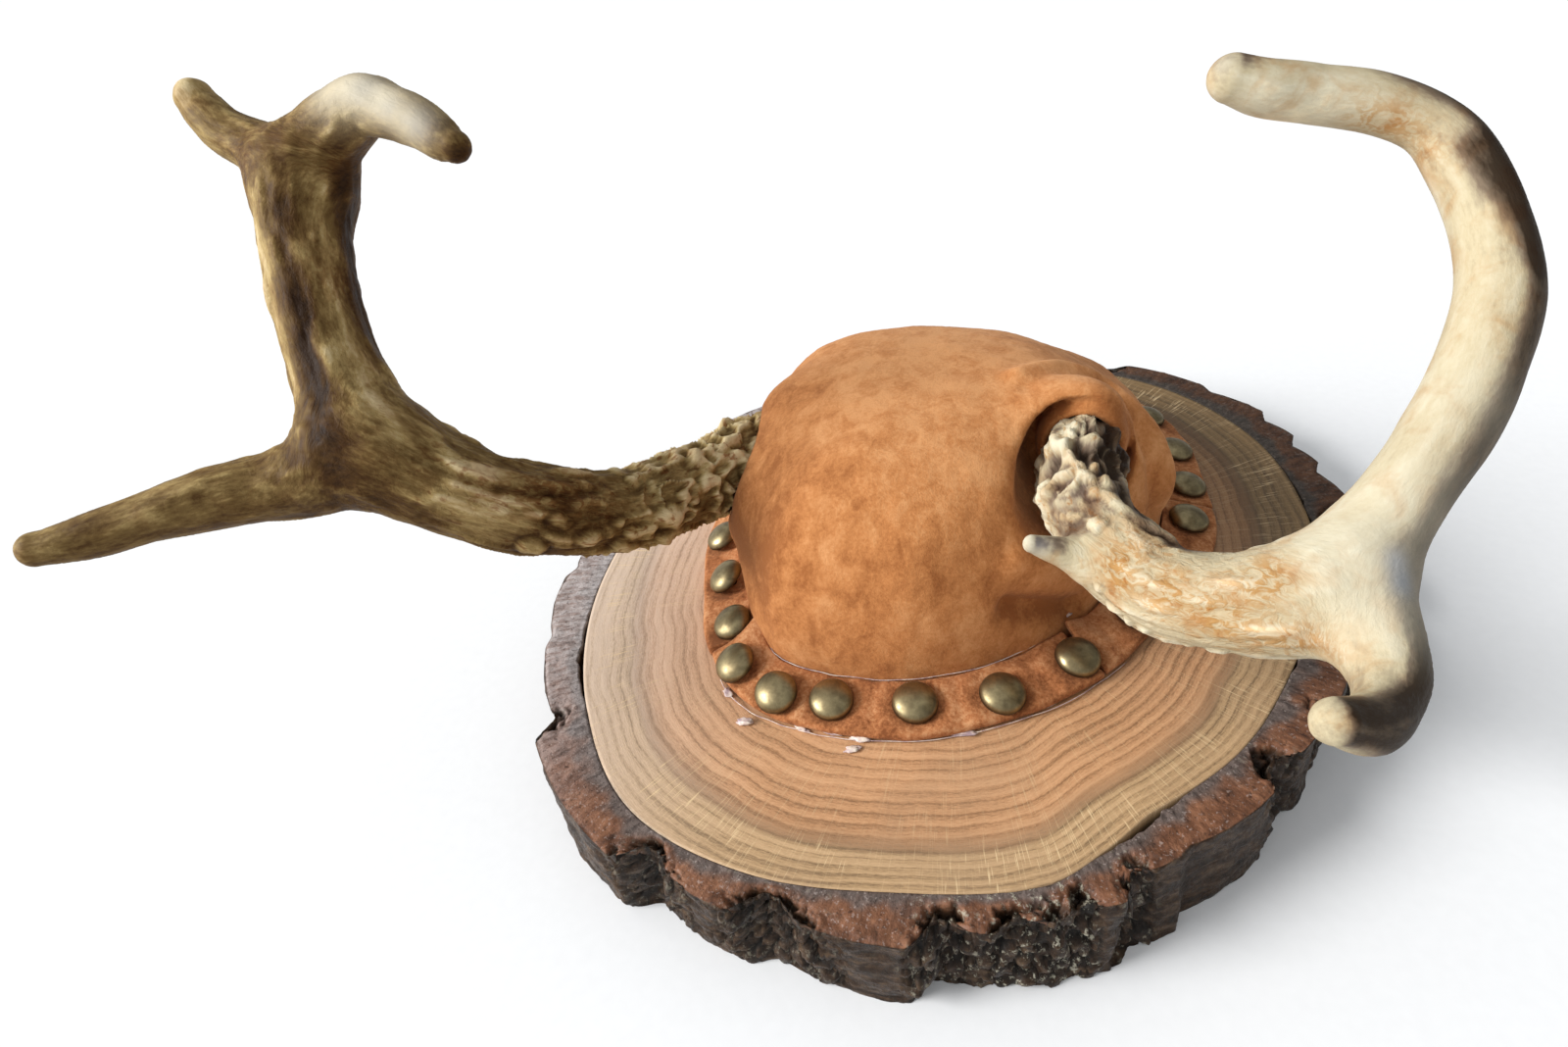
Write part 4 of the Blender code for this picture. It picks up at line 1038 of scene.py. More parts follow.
def bark_outline(degrees):
    """The bark's radius at the top and at the bottom for each angle."""
    angles = []
    tops = []
    bottoms = []
    for k, (first, last, top, bottom) in enumerate(BARK_PLATES):
        following = BARK_PLATES[(k + 1) % len(BARK_PLATES)]
        start = following[0] + (360 if following[0] < last else 0)
        angles += [first, (first + last) / 2, last]
        tops += [top - PLATE_CROWN, top, top - PLATE_CROWN]
        bottoms += [bottom - PLATE_CROWN, bottom, bottom - PLATE_CROWN]
        part = min(1.0, max(0.3, (start - last - 1.5) / WIDE_FISSURE))
        for share in (0.3, 0.7):
            angles.append(last + (start - last) * share)
            tops.append(min(top, following[2]) - FISSURE_DEPTH * part)
            bottoms.append(min(bottom, following[3]) - FISSURE_FOOT * part)
    outline = []
    for radii in (tops, bottoms):
        turned = [degrees + turn for turn in (-0.8, -0.4, 0.0, 0.4, 0.8)]
        outline.append(np.mean([np.interp(some, angles, radii, period=360.0) for some in turned], axis=0))
    return outline


def turned_from(degrees, place):
    """How far angles are from one angle, the short way round."""
    return np.abs((degrees - place + 180.0) % 360.0 - 180.0)


def bark_inside(degrees):
    """The radius of the bark's inner edge, close to the wood but for the cracks."""
    gap = np.full(len(degrees), 0.12)
    for place, half, width in BARK_CRACKS:
        gap += width * bell(turned_from(degrees, place), half)
    gap *= 0.75 + 0.5 * noise(on_circle(degrees, 0.0), 3.0, 29, 2)
    return edge_radius(WOOD_EDGE, degrees) + np.maximum(gap, 0.08)


def bark_rows(degrees):
    """The bark's section as rows of points, each row with its share of the way out."""
    inner = bark_inside(degrees)
    top, bottom = bark_outline(degrees)
    top_edge = np.maximum(top, inner + BARK_LEAST)
    foot_edge = np.maximum(bottom, inner + BARK_LEAST)
    rows = []
    for share in np.linspace(0.0, 0.97, 22):
        rows.append((around(inner + (top_edge - inner) * share, degrees, SLICE_THICK), share))
    for down in np.concatenate(([0.012], np.linspace(0.04, 0.97, 28), [0.993])):
        z = SLICE_THICK * (1 - down)
        wander = 1.6 * noise(on_circle(degrees, z), 9.0, 30, 2) * min(1.0, 4 * down)
        radius = np.interp(degrees + wander, degrees, top + (bottom - top) * down, period=360.0)
        rows.append((around(np.maximum(radius, inner + BARK_LEAST), degrees, z), 1.0))
    for share in (0.92, 0.6, 0.3, 0.0):
        rows.append((around(inner + (foot_edge - inner) * share, degrees, 0.0), share))
    for z in (6.0, 12.0, 17.0, 20.0):
        rows.append((around(inner, degrees, z), 0.0))
    return np.concatenate([row for row, _ in rows]), np.repeat([share for _, share in rows], len(degrees))


def broken_places(angle, shares, ragged):
    """How crumbly the bark is beside its pits, and how deep the pits in its top face are."""
    crumb = np.zeros(len(angle))
    depth = np.zeros(len(angle))
    reach = step_up(shares + 0.3 * ragged, 0.3, 0.7)
    for place, half, deep in BARK_PITS:
        away = turned_from(angle, place) / half
        crumb = np.maximum(crumb, 1 - step_up(away + 0.3 * ragged, 0.9, 1.9))
        mask = (1 - step_up(away + 0.5 * ragged, 0.6, 1.1)) * reach
        depth = np.maximum(depth, mask * deep)
    return crumb, depth


def side_relief(points, crumb, lumps, label, ragged):
    """How far the bark's side stands out: in slabs where it is whole, and in crumbs beside the pits."""
    slabs = noise(points * (0.35, 0.35, 2.2), 3.4, 22, 3)
    smooth = 0.7 * noise(points, 13.0, 21, 2) + 0.4 * slabs + 0.25 * ragged
    broken = 1.2 * label + 0.8 * ragged - 1.5 * lumps + 0.4 * slabs
    broken *= 0.35 + 0.65 * step_up(points[:, 2], 0.5, 5.0)
    return (1 - crumb) * smooth + crumb * broken


def bark_ring():
    """The bark, with crumbly sides, a sawn top face and pits broken into it."""
    degrees = np.arange(BARK_COLUMNS) * 360.0 / BARK_COLUMNS
    points, shares = bark_rows(degrees)
    rows = len(points) // BARK_COLUMNS
    piece = new_object("bark_ring_visual", points, grid_faces(rows, BARK_COLUMNS, closed_rows=True))
    angle, radius, _, _ = polar_values(piece.data, points)
    on_side = (shares == 1.0).astype(float)
    is_top = (points[:, 2] > SLICE_THICK - 0.01).astype(float)
    ragged = noise(points, 3.0, 24, 3)
    near, second, label = scattered(points + 0.9 * ragged[:, None], 3.6, 23)
    crumb, depth = broken_places(angle, shares, ragged)
    lumps = 1 - step_up(second - near, 0.02, 0.22)
    rough = side_relief(points, crumb, lumps, label, ragged)
    out = on_side * rough * step_up(SLICE_THICK - points[:, 2], 0.0, 1.2)
    fine_top = 0.14 * noise(points, 1.7, 25, 3) + 0.14 * noise(on_circle(angle, 0.3 * radius), 1.3, 28, 2)
    edge_wear = -0.8 * step_up(shares, 0.86, 1.0) * np.clip(0.4 + noise(points, 4.0, 26), 0, 1.5)
    fallen = depth * np.clip(0.55 + 0.5 * label + 0.35 * ragged, 0, 1.15)
    fallen += 0.8 * lumps * crumb * step_up(shares, 0.4, 0.7)
    points[:, :2] += points[:, :2] / radius[:, None] * out[:, None]
    down = is_top * step_up(shares, 0.0, 0.06) * (fine_top + edge_wear - fallen)
    points[:, 2] = np.clip(points[:, 2] + down, 0.0, SLICE_THICK + 0.2)
    move_points(piece.data, points)
    # Painted shade in the sides' sunk places and in the cracks between the crumbs.
    dark = on_side * np.maximum(step_up(-rough, 0.8, 2.2), 0.8 * crumb * lumps)
    lichen = 0.2 + 0.8 * bell(turned_from(angle, LICHEN_PLACE), LICHEN_REACH)
    write_values(
        piece.data,
        top=is_top * (1 - 0.8 * step_up(fallen, 0.6, 1.6)),
        # painted shade, near black in the pits and in the sides' sunk places and cracks
        pit=np.clip(is_top * 0.85 * step_up(fallen, 1.2, 4.0) + dark, 0, 1),
        crumb=np.clip(lichen * crumb + 0.06 * on_side, 0, 1),
        inner=1 - step_up(shares + 0.25 * noise(points, 5.0, 27, 2), 0.1, 0.5),
        # painted sheen towards the left
        haze=is_top * step_up(-points[:, 0] + 0.35 * points[:, 1], 30.0, 100.0),
        # painted shadow, darker towards the right and back
        dusk=step_up(0.6 * points[:, 0] + 0.8 * points[:, 1], 5.0, 85.0),
    )
    face_out(piece.data)
    finish_piece(piece, bark_material(), "bark", "bark_ring")


# The suede cover and its bands


def band_points(shares, inset=0.0):
    """Points on the band's outline, moved inward by the inset."""
    before = closed_curve(BAND_OUTLINE, shares - OUTLINE_STEP)
    along = closed_curve(BAND_OUTLINE, shares + OUTLINE_STEP) - before
    along /= np.linalg.norm(along, axis=1)[:, None]
    inward = np.column_stack((-along[:, 1], along[:, 0]))
    return closed_curve(BAND_OUTLINE, shares) + inward * np.reshape(inset, (-1, 1))


def cover_points(shares, climb):
    """Points of the cover at one climb from 0 at the foot to 1 at the peak."""
    foot = band_points(shares, BAND_WIDTH)
    scale = math.cos(climb * math.pi / 2) ** (2 / COVER_POWER)
    rise = math.sin(climb * math.pi / 2) ** (2 / COVER_POWER)
    centre = np.array(COVER_CENTRE)
    middle = centre + (np.array(COVER_PEAK) - centre) * rise**2
    flat = middle + (foot - centre) * scale
    points = np.column_stack((flat, np.full(len(flat), SUEDE_FOOT + rise * COVER_HEIGHT)))
    outward = np.column_stack((flat - middle, np.full(len(flat), rise * 40)))
    outward /= np.linalg.norm(outward, axis=1)[:, None]
    for x, y, z, height, spread in COVER_HUMPS:
        hump = height * bell(far_from(points, (x, y, z)), spread) * min(1.0, climb * 3)
        points = points + outward * hump[:, None]
    return points


def spun(name, place, way, section, sides):
    """A solid of round section along a line, from (along, radius) stations, for cutting."""
    points, faces = lofted(turned_rows(section, sides))
    matrix = np.array(Vector(way).normalized().to_track_quat("Z", "Y").to_matrix())
    made = new_object(name, points @ matrix.T + np.array(place), faces)
    face_out(made.data)
    return made


def combine(piece, other, operation):
    """Cut another solid out of the piece, or grow the two together."""
    boolean = piece.modifiers.new("combine", "BOOLEAN")
    boolean.operation = operation
    boolean.solver = "EXACT"
    boolean.object = other
    apply_modifiers(piece)
    bpy.data.objects.remove(other, do_unlink=True)


def voxel_skin(piece, size):
    """One dense, even skin over the piece."""
    remesh = piece.modifiers.new("skin", "REMESH")
    remesh.mode = "VOXEL"
    remesh.voxel_size = size * MM
    apply_modifiers(piece)


def socket_distance(points, socket):
    """How far each point is from the wall of a socket, and how far along the socket it is."""
    start = np.array(socket[0], dtype=float)
    way = np.array(socket[1]) / np.linalg.norm(socket[1])
    along = (points - start) @ way
    aside = np.linalg.norm(points - start - along[:, None] * way, axis=1)
    wall = np.interp(along, *zip(*socket[2]))
    return aside - wall, along


def cover_body():
    """The dome as one dense skin, open below: sockets for the burrs, a collar and the roots' holes."""
    shares = np.arange(COVER_COLUMNS) / COVER_COLUMNS
    climbs = np.concatenate((np.linspace(0.0, 0.9, 46), [0.94, 0.97, 0.99]))
    cover = new_object("suede_cover_visual", *lofted([cover_points(shares, climb) for climb in climbs]))
    for socket in SOCKETS:
        combine(cover, spun("socket", *socket, SOCKET_SIDES), "DIFFERENCE")
    combine(cover, spun("collar", *RIGHT_BURR, COLLAR_SECTION, SOCKET_SIDES), "UNION")
    combine(cover, spun("left_hole", *LEFT_BURR, LEFT_HOLE_SECTION, HOLE_SIDES), "DIFFERENCE")
    combine(cover, spun("right_hole", *RIGHT_BURR, RIGHT_HOLE_SECTION, HOLE_SIDES), "DIFFERENCE")
    voxel_skin(cover, COVER_VOXEL)
    open_below(cover.data, SUEDE_FOOT + 0.7)
    return cover


def soften_rims(mesh):
    """Relax the skin a little all over and most round the sockets' rims, but not at its foot."""
    points = mesh_points(mesh)
    soften = np.full(len(points), 0.12)
    for socket in SOCKETS:
        wall, along = socket_distance(points, socket)
        soften = np.maximum(soften, np.where(along > -6, 0.9 * bell(wall, 4.5), 0.0))
    soften[points[:, 2] < SUEDE_FOOT + 1.5] = 0.0
    relax(mesh, soften, 14)


def folds(points):
    """How high the cover's soft folds stand at each point."""
    return sum(rise * bell(from_path(points, path), spread) for path, spread, rise in COVER_FOLDS)


def wrinkle(mesh):
    """Raise low waves and the soft folds, above the foot."""
    points = mesh_points(mesh)
    wave = 0.35 * noise(points, 14.0, 41, 2) + 0.10 * noise(points, 2.2, 42, 2)
    lift = (wave + folds(points)) * step_up(points[:, 2], 23.0, 27.0)
    move_points(mesh, points + mesh_normals(mesh) * lift[:, None])


def cover_values(mesh):
    """Painted shade in the sockets, the tucks and on the sun's side, painted light over the crown and folds,
    and small stains.
    """
    points = mesh_points(mesh)
    tone = np.zeros(len(points))
    # Painted shade inside the sockets round the burrs.
    for socket in SOCKETS:
        wall, along = socket_distance(points, socket)
        tone -= 0.18 * np.where(along > -16, 1 - step_up(wall, -0.5, 3.0), 0.0)
    # Painted light over the crown.
    tone += 0.12 * step_up(points[:, 2] - 0.12 * points[:, 0], 58.0, 78.0)
    # Painted shade on the faces turned to the sun, to even out its light.
    tone -= 0.24 * step_up(mesh_normals(mesh) @ np.array(SUN_FROM), 0.5, 1.0)
    # Painted light on the raised folds and painted shade in the tucks.
    tone += 0.045 * folds(points)
    stain = np.zeros(len(points))
    for x, y, z, spread in COVER_STAINS:
        stain = np.maximum(stain, 0.8 * bell(far_from(points, (x, y, z)), spread, 4))
    write_values(mesh, tone=tone, stain=stain)


def suede_cover():
    """The cover, a suede skin stretched over the mount between the antlers."""
    cover = cover_body()
    soften_rims(cover.data)
    wrinkle(cover.data)
    thicken(cover, COVER_SKIN)
    cover_values(cover.data)
    material = suede_material("caramel_suede", CARAMEL_SUEDE, mottling=0.5)
    finish_piece(cover, material, "suede", "suede_cover")


def open_below(mesh, height):
    """Take away the faces that lie flat at the foot, so that the skin is open there."""
    bm = bmesh.new()
    bm.from_mesh(mesh)
    flat = [f for f in bm.faces if f.calc_center_median().z < height * MM and f.normal.z < -0.6]
    bmesh.ops.delete(bm, geom=flat, context="FACES")
    loose = [v for v in bm.verts if not v.link_faces]
    bmesh.ops.delete(bm, geom=loose, context="VERTS")
    bm.to_mesh(mesh)
    bm.free()


def thicken(piece, thickness):
    """Give an open skin its thickness inward, closing it round its edges."""
    solid = piece.modifiers.new("skin", "SOLIDIFY")
    solid.thickness = thickness * MM
    solid.offset = -1.0
    apply_modifiers(piece)


def nearest_tack(points):
    """How far each point is from the nearest tack's middle, seen from above."""
    places = np.array([tack[:2] for tack in TACKS], dtype=float)
    return np.linalg.norm(points[:, None, :2] - places[None], axis=2).min(axis=1)


def band_rows(shares, seed, lifted):
    """A strip's rows of points along it, over its upper face and back under it.

    The inner corner of its first end is lifted to a point.
    """
    across = np.concatenate(([0.0, 0.012, 0.04], np.linspace(0.08, 0.92, 18), [0.96, 0.988, 1.0]))
    sag = np.sqrt(1 - (1 - np.minimum(1.0, np.minimum(across, 1 - across) / 0.06)) ** 2)
    corner = np.clip(1 - (shares - shares[0]) * BAND_ROUND / CORNER_REACH, 0.0, 1.0) ** 1.4
    run = np.column_stack((shares * BAND_ROUND, np.zeros((len(shares), 2))))
    ripple = noise(run, 16.0, seed, 2)
    last = len(across) - 1
    rows = []
    for k, side in [(k, 1) for k in range(last + 1)] + [(k, -1) for k in range(last - 1, 0, -1)]:
        inset = (BAND_WIDTH - GAP) * across[k] + 0.5 * ripple * (1 - across[k])
        middle = SUEDE_FOOT + BAND_THICK / 2 + BAND_RISE * across[k]
        z = middle + side * BAND_THICK / 2 * sag[k] + lifted * corner * across[k] ** 2
        rows.append(np.column_stack((band_points(shares, inset), z)))
    return rows


def band_strip(name, first, last, seed, lifted, material):
    """One suede strip along the foot of the cover, with soft edges and a dimple at each tack."""
    span = (last - first) % 1.0
    steps = round(span * BAND_ROUND / BAND_STEP)
    shares = first + span * np.arange(steps + 1) / steps
    points, faces = lofted(np.stack(band_rows(shares, seed, lifted), axis=1))
    piece = new_object(name + "_visual", points, faces)
    face_out(piece.data)
    away = nearest_tack(points)
    lift = 0.22 * noise(points, 7.0, seed + 1, 2) + 0.08 * noise(points, 1.8, seed + 2)
    lift += 0.5 * bell(away - 8.5, 2.5) - 0.35 * bell(away, 5.5)
    points[:, 2] += np.where(points[:, 2] > SUEDE_FOOT + 0.9, lift, 0.0)
    move_points(piece.data, points)
    # Painted shade: a darker ring round each tack's head; the noise is the leather's own uneven tone.
    tone = -0.12 * bell(away - 5.6, 1.1) + 0.06 * noise(points, 3.0, seed + 3, 2)
    write_values(piece.data, tone=tone, stain=np.zeros(len(points)))
    finish_piece(piece, material, "suede", name)


def suede_bands():
    """The four strips of the band, a little apart at their joints."""
    material = suede_material("orange_suede", ORANGE_SUEDE, mottling=0.8)
    parting = BAND_PARTING / BAND_ROUND
    for k, name in enumerate(BAND_NAMES):
        last = BAND_JOINTS[(k + 1) % len(BAND_JOINTS)]
        band_strip(name, BAND_JOINTS[k] + parting, last - parting, 50 + 10 * k, CORNER_LIFTS[k], material)


def tube(path, radius, sides=6):
    """Points and faces of a thin closed tube along a path."""
    turn = turns(sides)
    rows = []
    for k, (place, way) in enumerate(zip(path, np.gradient(path, axis=0))):
        across = np.cross(way, (0.0, 0.0, 1.0))
        across /= np.linalg.norm(across)
        up = np.cross(across, way) / np.linalg.norm(way)
        size = radius * (0.3 if k in (0, len(path) - 1) else 1.0)
        rows.append(place + size * (np.outer(np.cos(turn), across) + np.outer(np.sin(turn), up)))
    return lofted(rows)


def lump(x, y, z, long, wide, high, turn):
    """Points and faces of one flattened lump, its long side turned by degrees."""
    bm = bmesh.new()
    bmesh.ops.create_icosphere(bm, subdivisions=3, radius=1.0)
    points = np.array([vertex.co[:] for vertex in bm.verts])
    faces = [[vertex.index for vertex in face.verts] for face in bm.faces]
    bm.free()
    points *= (1 + 0.5 * noise(points + (x, y, z), 0.6, 91, 2))[:, None]
    points *= (0.75 * long, 0.7 * wide, 0.7 * high)
    angle = math.radians(turn)
    turned_x = points[:, 0] * math.cos(angle) - points[:, 1] * math.sin(angle)
    turned_y = points[:, 0] * math.sin(angle) + points[:, 1] * math.cos(angle)
    return np.column_stack((turned_x + x, turned_y + y, points[:, 2] + z)), faces


def glue():
    """Dried glue: threads along the front band's two edges, and small lumps beside it."""
    bodies = []
    for first, last, inset, z in GLUE_THREADS:
        shares = np.linspace(first, last, GLUE_THREAD_STEPS)
        run = shares * BAND_ROUND
        line = np.column_stack((run, np.zeros_like(run), np.full_like(run, inset)))
        flat = band_points(shares, inset + 0.5 * noise(line, 9.0, 95, 2))
        lift = z + 0.15 * noise(line, 5.0, 96)
        bodies.append(tube(np.column_stack((flat, lift)), GLUE_THREAD_RADIUS))
    bodies += [lump(*each) for each in GLUE_LUMPS]
    piece = new_object("glue_residue", *gathered(bodies))
    face_out(piece.data)
    finish_piece(piece, glue_material(), "suede")


# The tacks


def tack_seat(x, y, lean):
    """Where a tack's head meets the band, and the way it points, up and outward."""
    shares = np.arange(OUTLINE_PLACES) / OUTLINE_PLACES
    nearest = np.argmin(far_from(band_points(shares), (x, y)))
    share = shares[nearest : nearest + 1]
    here = band_points(share)[0]
    across = np.linalg.norm(here - (x, y)) / BAND_WIDTH
    height = SUEDE_FOOT + BAND_THICK + BAND_RISE * across
    outward = here - band_points(share, 5.0)[0]
    outward /= np.linalg.norm(outward)
    angle = math.radians(lean)
    way = Vector((outward[0] * math.sin(angle), outward[1] * math.sin(angle), math.cos(angle)))
    lift = TACK_HEAD_RADIUS * (math.sin(angle) - BAND_RISE / BAND_WIDTH * math.cos(angle))
    return Vector((x, y, height + GAP + max(0.0, lift) + 0.1)), way


def tack_section():
    """A tack's (height, radius) stations: the pin, the underside and rim of the head, and its dome."""
    side = TACK_PIN_SIDE / 2
    section = [(-TACK_PIN_LENGTH, TACK_PIN_TIP), (-TACK_PIN_LENGTH + TACK_PIN_TAPER, side), (0.0, side)]
    section += [(height, share * TACK_HEAD_RADIUS) for height, share in TACK_RIM]
    for share in np.linspace(0.955, 0.05, 14):
        height = TACK_DOME_FOOT + (TACK_HEAD_HEIGHT - TACK_DOME_FOOT) * math.sqrt(1 - share**2)
        section.append((height, TACK_HEAD_RADIUS * share))
    return section


def tack(number, x, y, lean, material):
    """One tack, a little out of round, standing in the band."""
    points, faces = lofted(turned_rows(tack_section(), TACK_SIDES))
    dent = noise(points + 31.0 * number, 3.0, 61, 2)
    points[:, :2] *= 1 + 0.012 * dent[:, None]
    place, way = tack_seat(x, y, lean)
    stood = Matrix.Translation(place) @ way.to_track_quat("Z", "Y").to_matrix().to_4x4()
    matrix = np.array(stood @ Matrix.Rotation(number * 1.7, 4, "Z"))
    placed = points @ matrix[:3, :3].T + matrix[:3, 3]
    piece = new_object(f"tack_{number:02d}_visual", placed, faces)
    rim = 1 - step_up(points[:, 2], 0.3, 1.3) + 0.3 * step_up(dent, 0.1, 0.9)
    write_values(piece.data, rim=np.clip(rim, 0, 1) * 0.8)
    face_out(piece.data)
    finish_piece(piece, material, "tack_brass", f"tack_{number:02d}")


def tacks():
    """All tacks, in the order that they are listed."""
    material = brass_material()
    for number, (x, y, lean) in enumerate(TACKS, start=1):
        tack(number, x, y, lean, material)


# The antlers


class Branch:
    """One branch: its middle line in small steps, with radii and two directions across it.

    Its grain goes on from that of the earlier branch that it grows out of.
    """

    def __init__(self, stations, earlier):
        line = self.middle_line(np.array(stations, dtype=float))
        self.points = line[:, :3]
        self.radii = line[:, 3]
        steps = np.linalg.norm(np.diff(self.points, axis=0), axis=1)
        self.along = np.concatenate(([0.0], np.cumsum(steps)))
        self.length = self.along[-1]
        self.ways = np.gradient(self.points, axis=0)
        self.ways /= np.linalg.norm(self.ways, axis=1)[:, None]
        self.start = 0.0
        across = np.array(Vector(self.ways[0]).orthogonal())
        if earlier:
            joined = min(earlier, key=lambda other: far_from(other.points, self.points[0]).min())
            step = joined.nearest(self.points[:1])[0]
            self.start = joined.start + joined.along[step]
            sides = (joined.across[step], joined.up[step])
            across = min(sides, key=lambda side: abs(side @ self.ways[0]))
        found = []
        for way in self.ways:
            across = across - way * (across @ way)
            across = across / np.linalg.norm(across)
            found.append(across)
        self.across = np.array(found)
        self.up = np.cross(self.ways, self.across)

    @staticmethod
    def middle_line(listed):
        """Small, even steps along a smooth curve through the listed stations."""
        ends = np.vstack((2 * listed[0] - listed[1], listed, 2 * listed[-1] - listed[-2]))
        ends[0, 3] = listed[0, 3]
        ends[-1, 3] = listed[-1, 3]
        rows = []
        for k in range(len(listed) - 1):
            pieces = max(2, round(np.linalg.norm(listed[k + 1, :3] - listed[k, :3]) / BRANCH_STEP))
            for n in range(pieces):
                rows.append(blend_four(ends[k : k + 4], n / pieces))
        rows.append(listed[-1])
        return np.array(rows)

    def nearest(self, points):
        """The step of the middle line nearest to each point."""
        found = np.empty(len(points), dtype=int)
        squares = (self.points**2).sum(axis=1)
        for start in range(0, len(points), BATCH):
            some = points[start : start + BATCH]
            found[start : start + BATCH] = np.argmin(squares - 2 * some @ self.points.T, axis=1)
        return found

    def reach(self, points):
        """How far points are outside the branch, and the way out from its middle line."""
        index = self.nearest(points)
        offset = points - self.points[index]
        forward = np.clip((offset * self.ways[index]).sum(axis=1), -0.35, 0.35)
        offset = offset - self.ways[index] * forward[:, None]
        far = np.linalg.norm(offset, axis=1)
        return far - self.radii[index], offset / np.maximum(far, 1e-6)[:, None]

    def place(self, points):
        """Each point's length along the branch, and its place across it in two directions."""
        index = self.nearest(points)
        offset = points - self.points[index]
        along = self.along[index] + (offset * self.ways[index]).sum(axis=1)
        x = (offset * self.across[index]).sum(axis=1)
        y = (offset * self.up[index]).sum(axis=1)
        return along, x, y

    def skin(self):
        """A closed tube with rounded ends round the branch, in points and faces."""
        turn = turns(BRANCH_SIDES)
        last = len(self.points) - 1
        places = [(0, -lean) for lean in BRANCH_CAP]
        places += [(k, 0.0) for k in [*range(0, last + 1, 3), last]]
        places += [(last, lean) for lean in BRANCH_CAP[::-1]]
        rows = []
        for k, lean in places:
            centre = self.points[k] + self.ways[k] * self.radii[k] * lean
            size = self.radii[k] * math.sqrt(1 - lean**2)
            ring = np.outer(np.cos(turn), self.across[k]) + np.outer(np.sin(turn), self.up[k])
            rows.append(centre + ring * size)
        return lofted(rows)


def antler_skin(name, branches):
    """All branches grown into one dense skin, with the inner corners of its forks filled."""
    antler = new_object(name, *gathered([branch.skin() for branch in branches.values()]))
    face_out(antler.data)
    voxel_skin(antler, ANTLER_VOXEL)
    settled = mesh_points(antler.data)
    for _ in range(3):
        distance, way, _ = united(settled, branches)
        settled -= way * distance[:, None]
    move_points(antler.data, settled)
    return antler


def united(points, branches):
    """The distance to the branches' smooth union, the way out of it, and each branch's share."""
    found = [branch.reach(points) for branch in branches.values()]
    distances = np.array([each[0] for each in found])
    lowest = distances.min(axis=0)
    shares = np.exp(-(distances - lowest) / FORK_FILL)
    total = shares.sum(axis=0)
    shares /= total
    way = sum(share[:, None] * each[1] for share, each in zip(shares, found))
    way /= np.maximum(np.linalg.norm(way, axis=1), 1e-6)[:, None]
    return lowest - FORK_FILL * np.log(total), way, shares


def near_spots(points, spots):
    """A mask from (x, y, z, spread, amount) spots."""
    mask = np.zeros(len(points))
    for x, y, z, spread, amount in spots:
        mask += amount * bell(far_from(points, (x, y, z)), spread)
    return mask


def raised(points, forms):
    """The rise and the knob mask of ridges and knobs, each (start, end, radius, rise)."""
    rise = np.zeros(len(points))
    knob = np.zeros(len(points))
    moat = np.zeros(len(points))
    for start, end, radius, height in forms:
        away = from_ridge(points, start, end) / radius
        dome = np.clip(1 - (away / 1.2) ** 2, 0.0, 1.0) ** 1.4
        rise = np.maximum(rise, height * dome)
        knob = np.maximum(knob, dome * min(1.0, height / 1.2))
        moat = np.maximum(moat, bell(away - 1.25, 0.35) * min(1.0, height / 1.5))
    return rise, knob, moat * (1 - knob)


def sunk(points, forms):
    """The depth and the mask of hollows and grooves, each (start, end, radius, depth)."""
    depth = np.zeros(len(points))
    mask = np.zeros(len(points))
    for start, end, radius, deep in forms:
        dome = bell(from_ridge(points, start, end), radius)
        depth = np.maximum(depth, deep * dome)
        mask = np.maximum(mask, dome * min(1.0, deep / 1.2))
    return depth, mask


def drawn_out(run, x, y, stretch):
    """Places across a branch and along it, with the length shortened to draw a pattern out."""
    return np.column_stack((run / stretch, x, y))


def grown_bone(points, branches, burr, style):
    """The bone's height, relief, roughness and grain, blended where the branches meet."""
    _, _, shares = united(points, branches)
    height, relief, rough = np.zeros((3, len(points)))
    grain = np.zeros((len(points), 3))
    for share, (key, branch) in zip(shares, branches.items()):
        along, x, y = branch.place(points)
        some = share > 0.01
        burr_at = branch.along[np.argmin(far_from(branch.points, burr[0]))]
        from_burr = along - burr_at if key == "beam" else np.full(len(points), NO_BURR)
        parts = bone_relief(key, along[some], x[some], y[some], from_burr[some], branch, style)
        for total, part in zip((height, relief, rough), parts):
            total[some] += share[some] * part
        grain += share[:, None] * drawn_out(along + branch.start, x, y, GRAIN_STRETCH)
    return height, relief, rough, grain


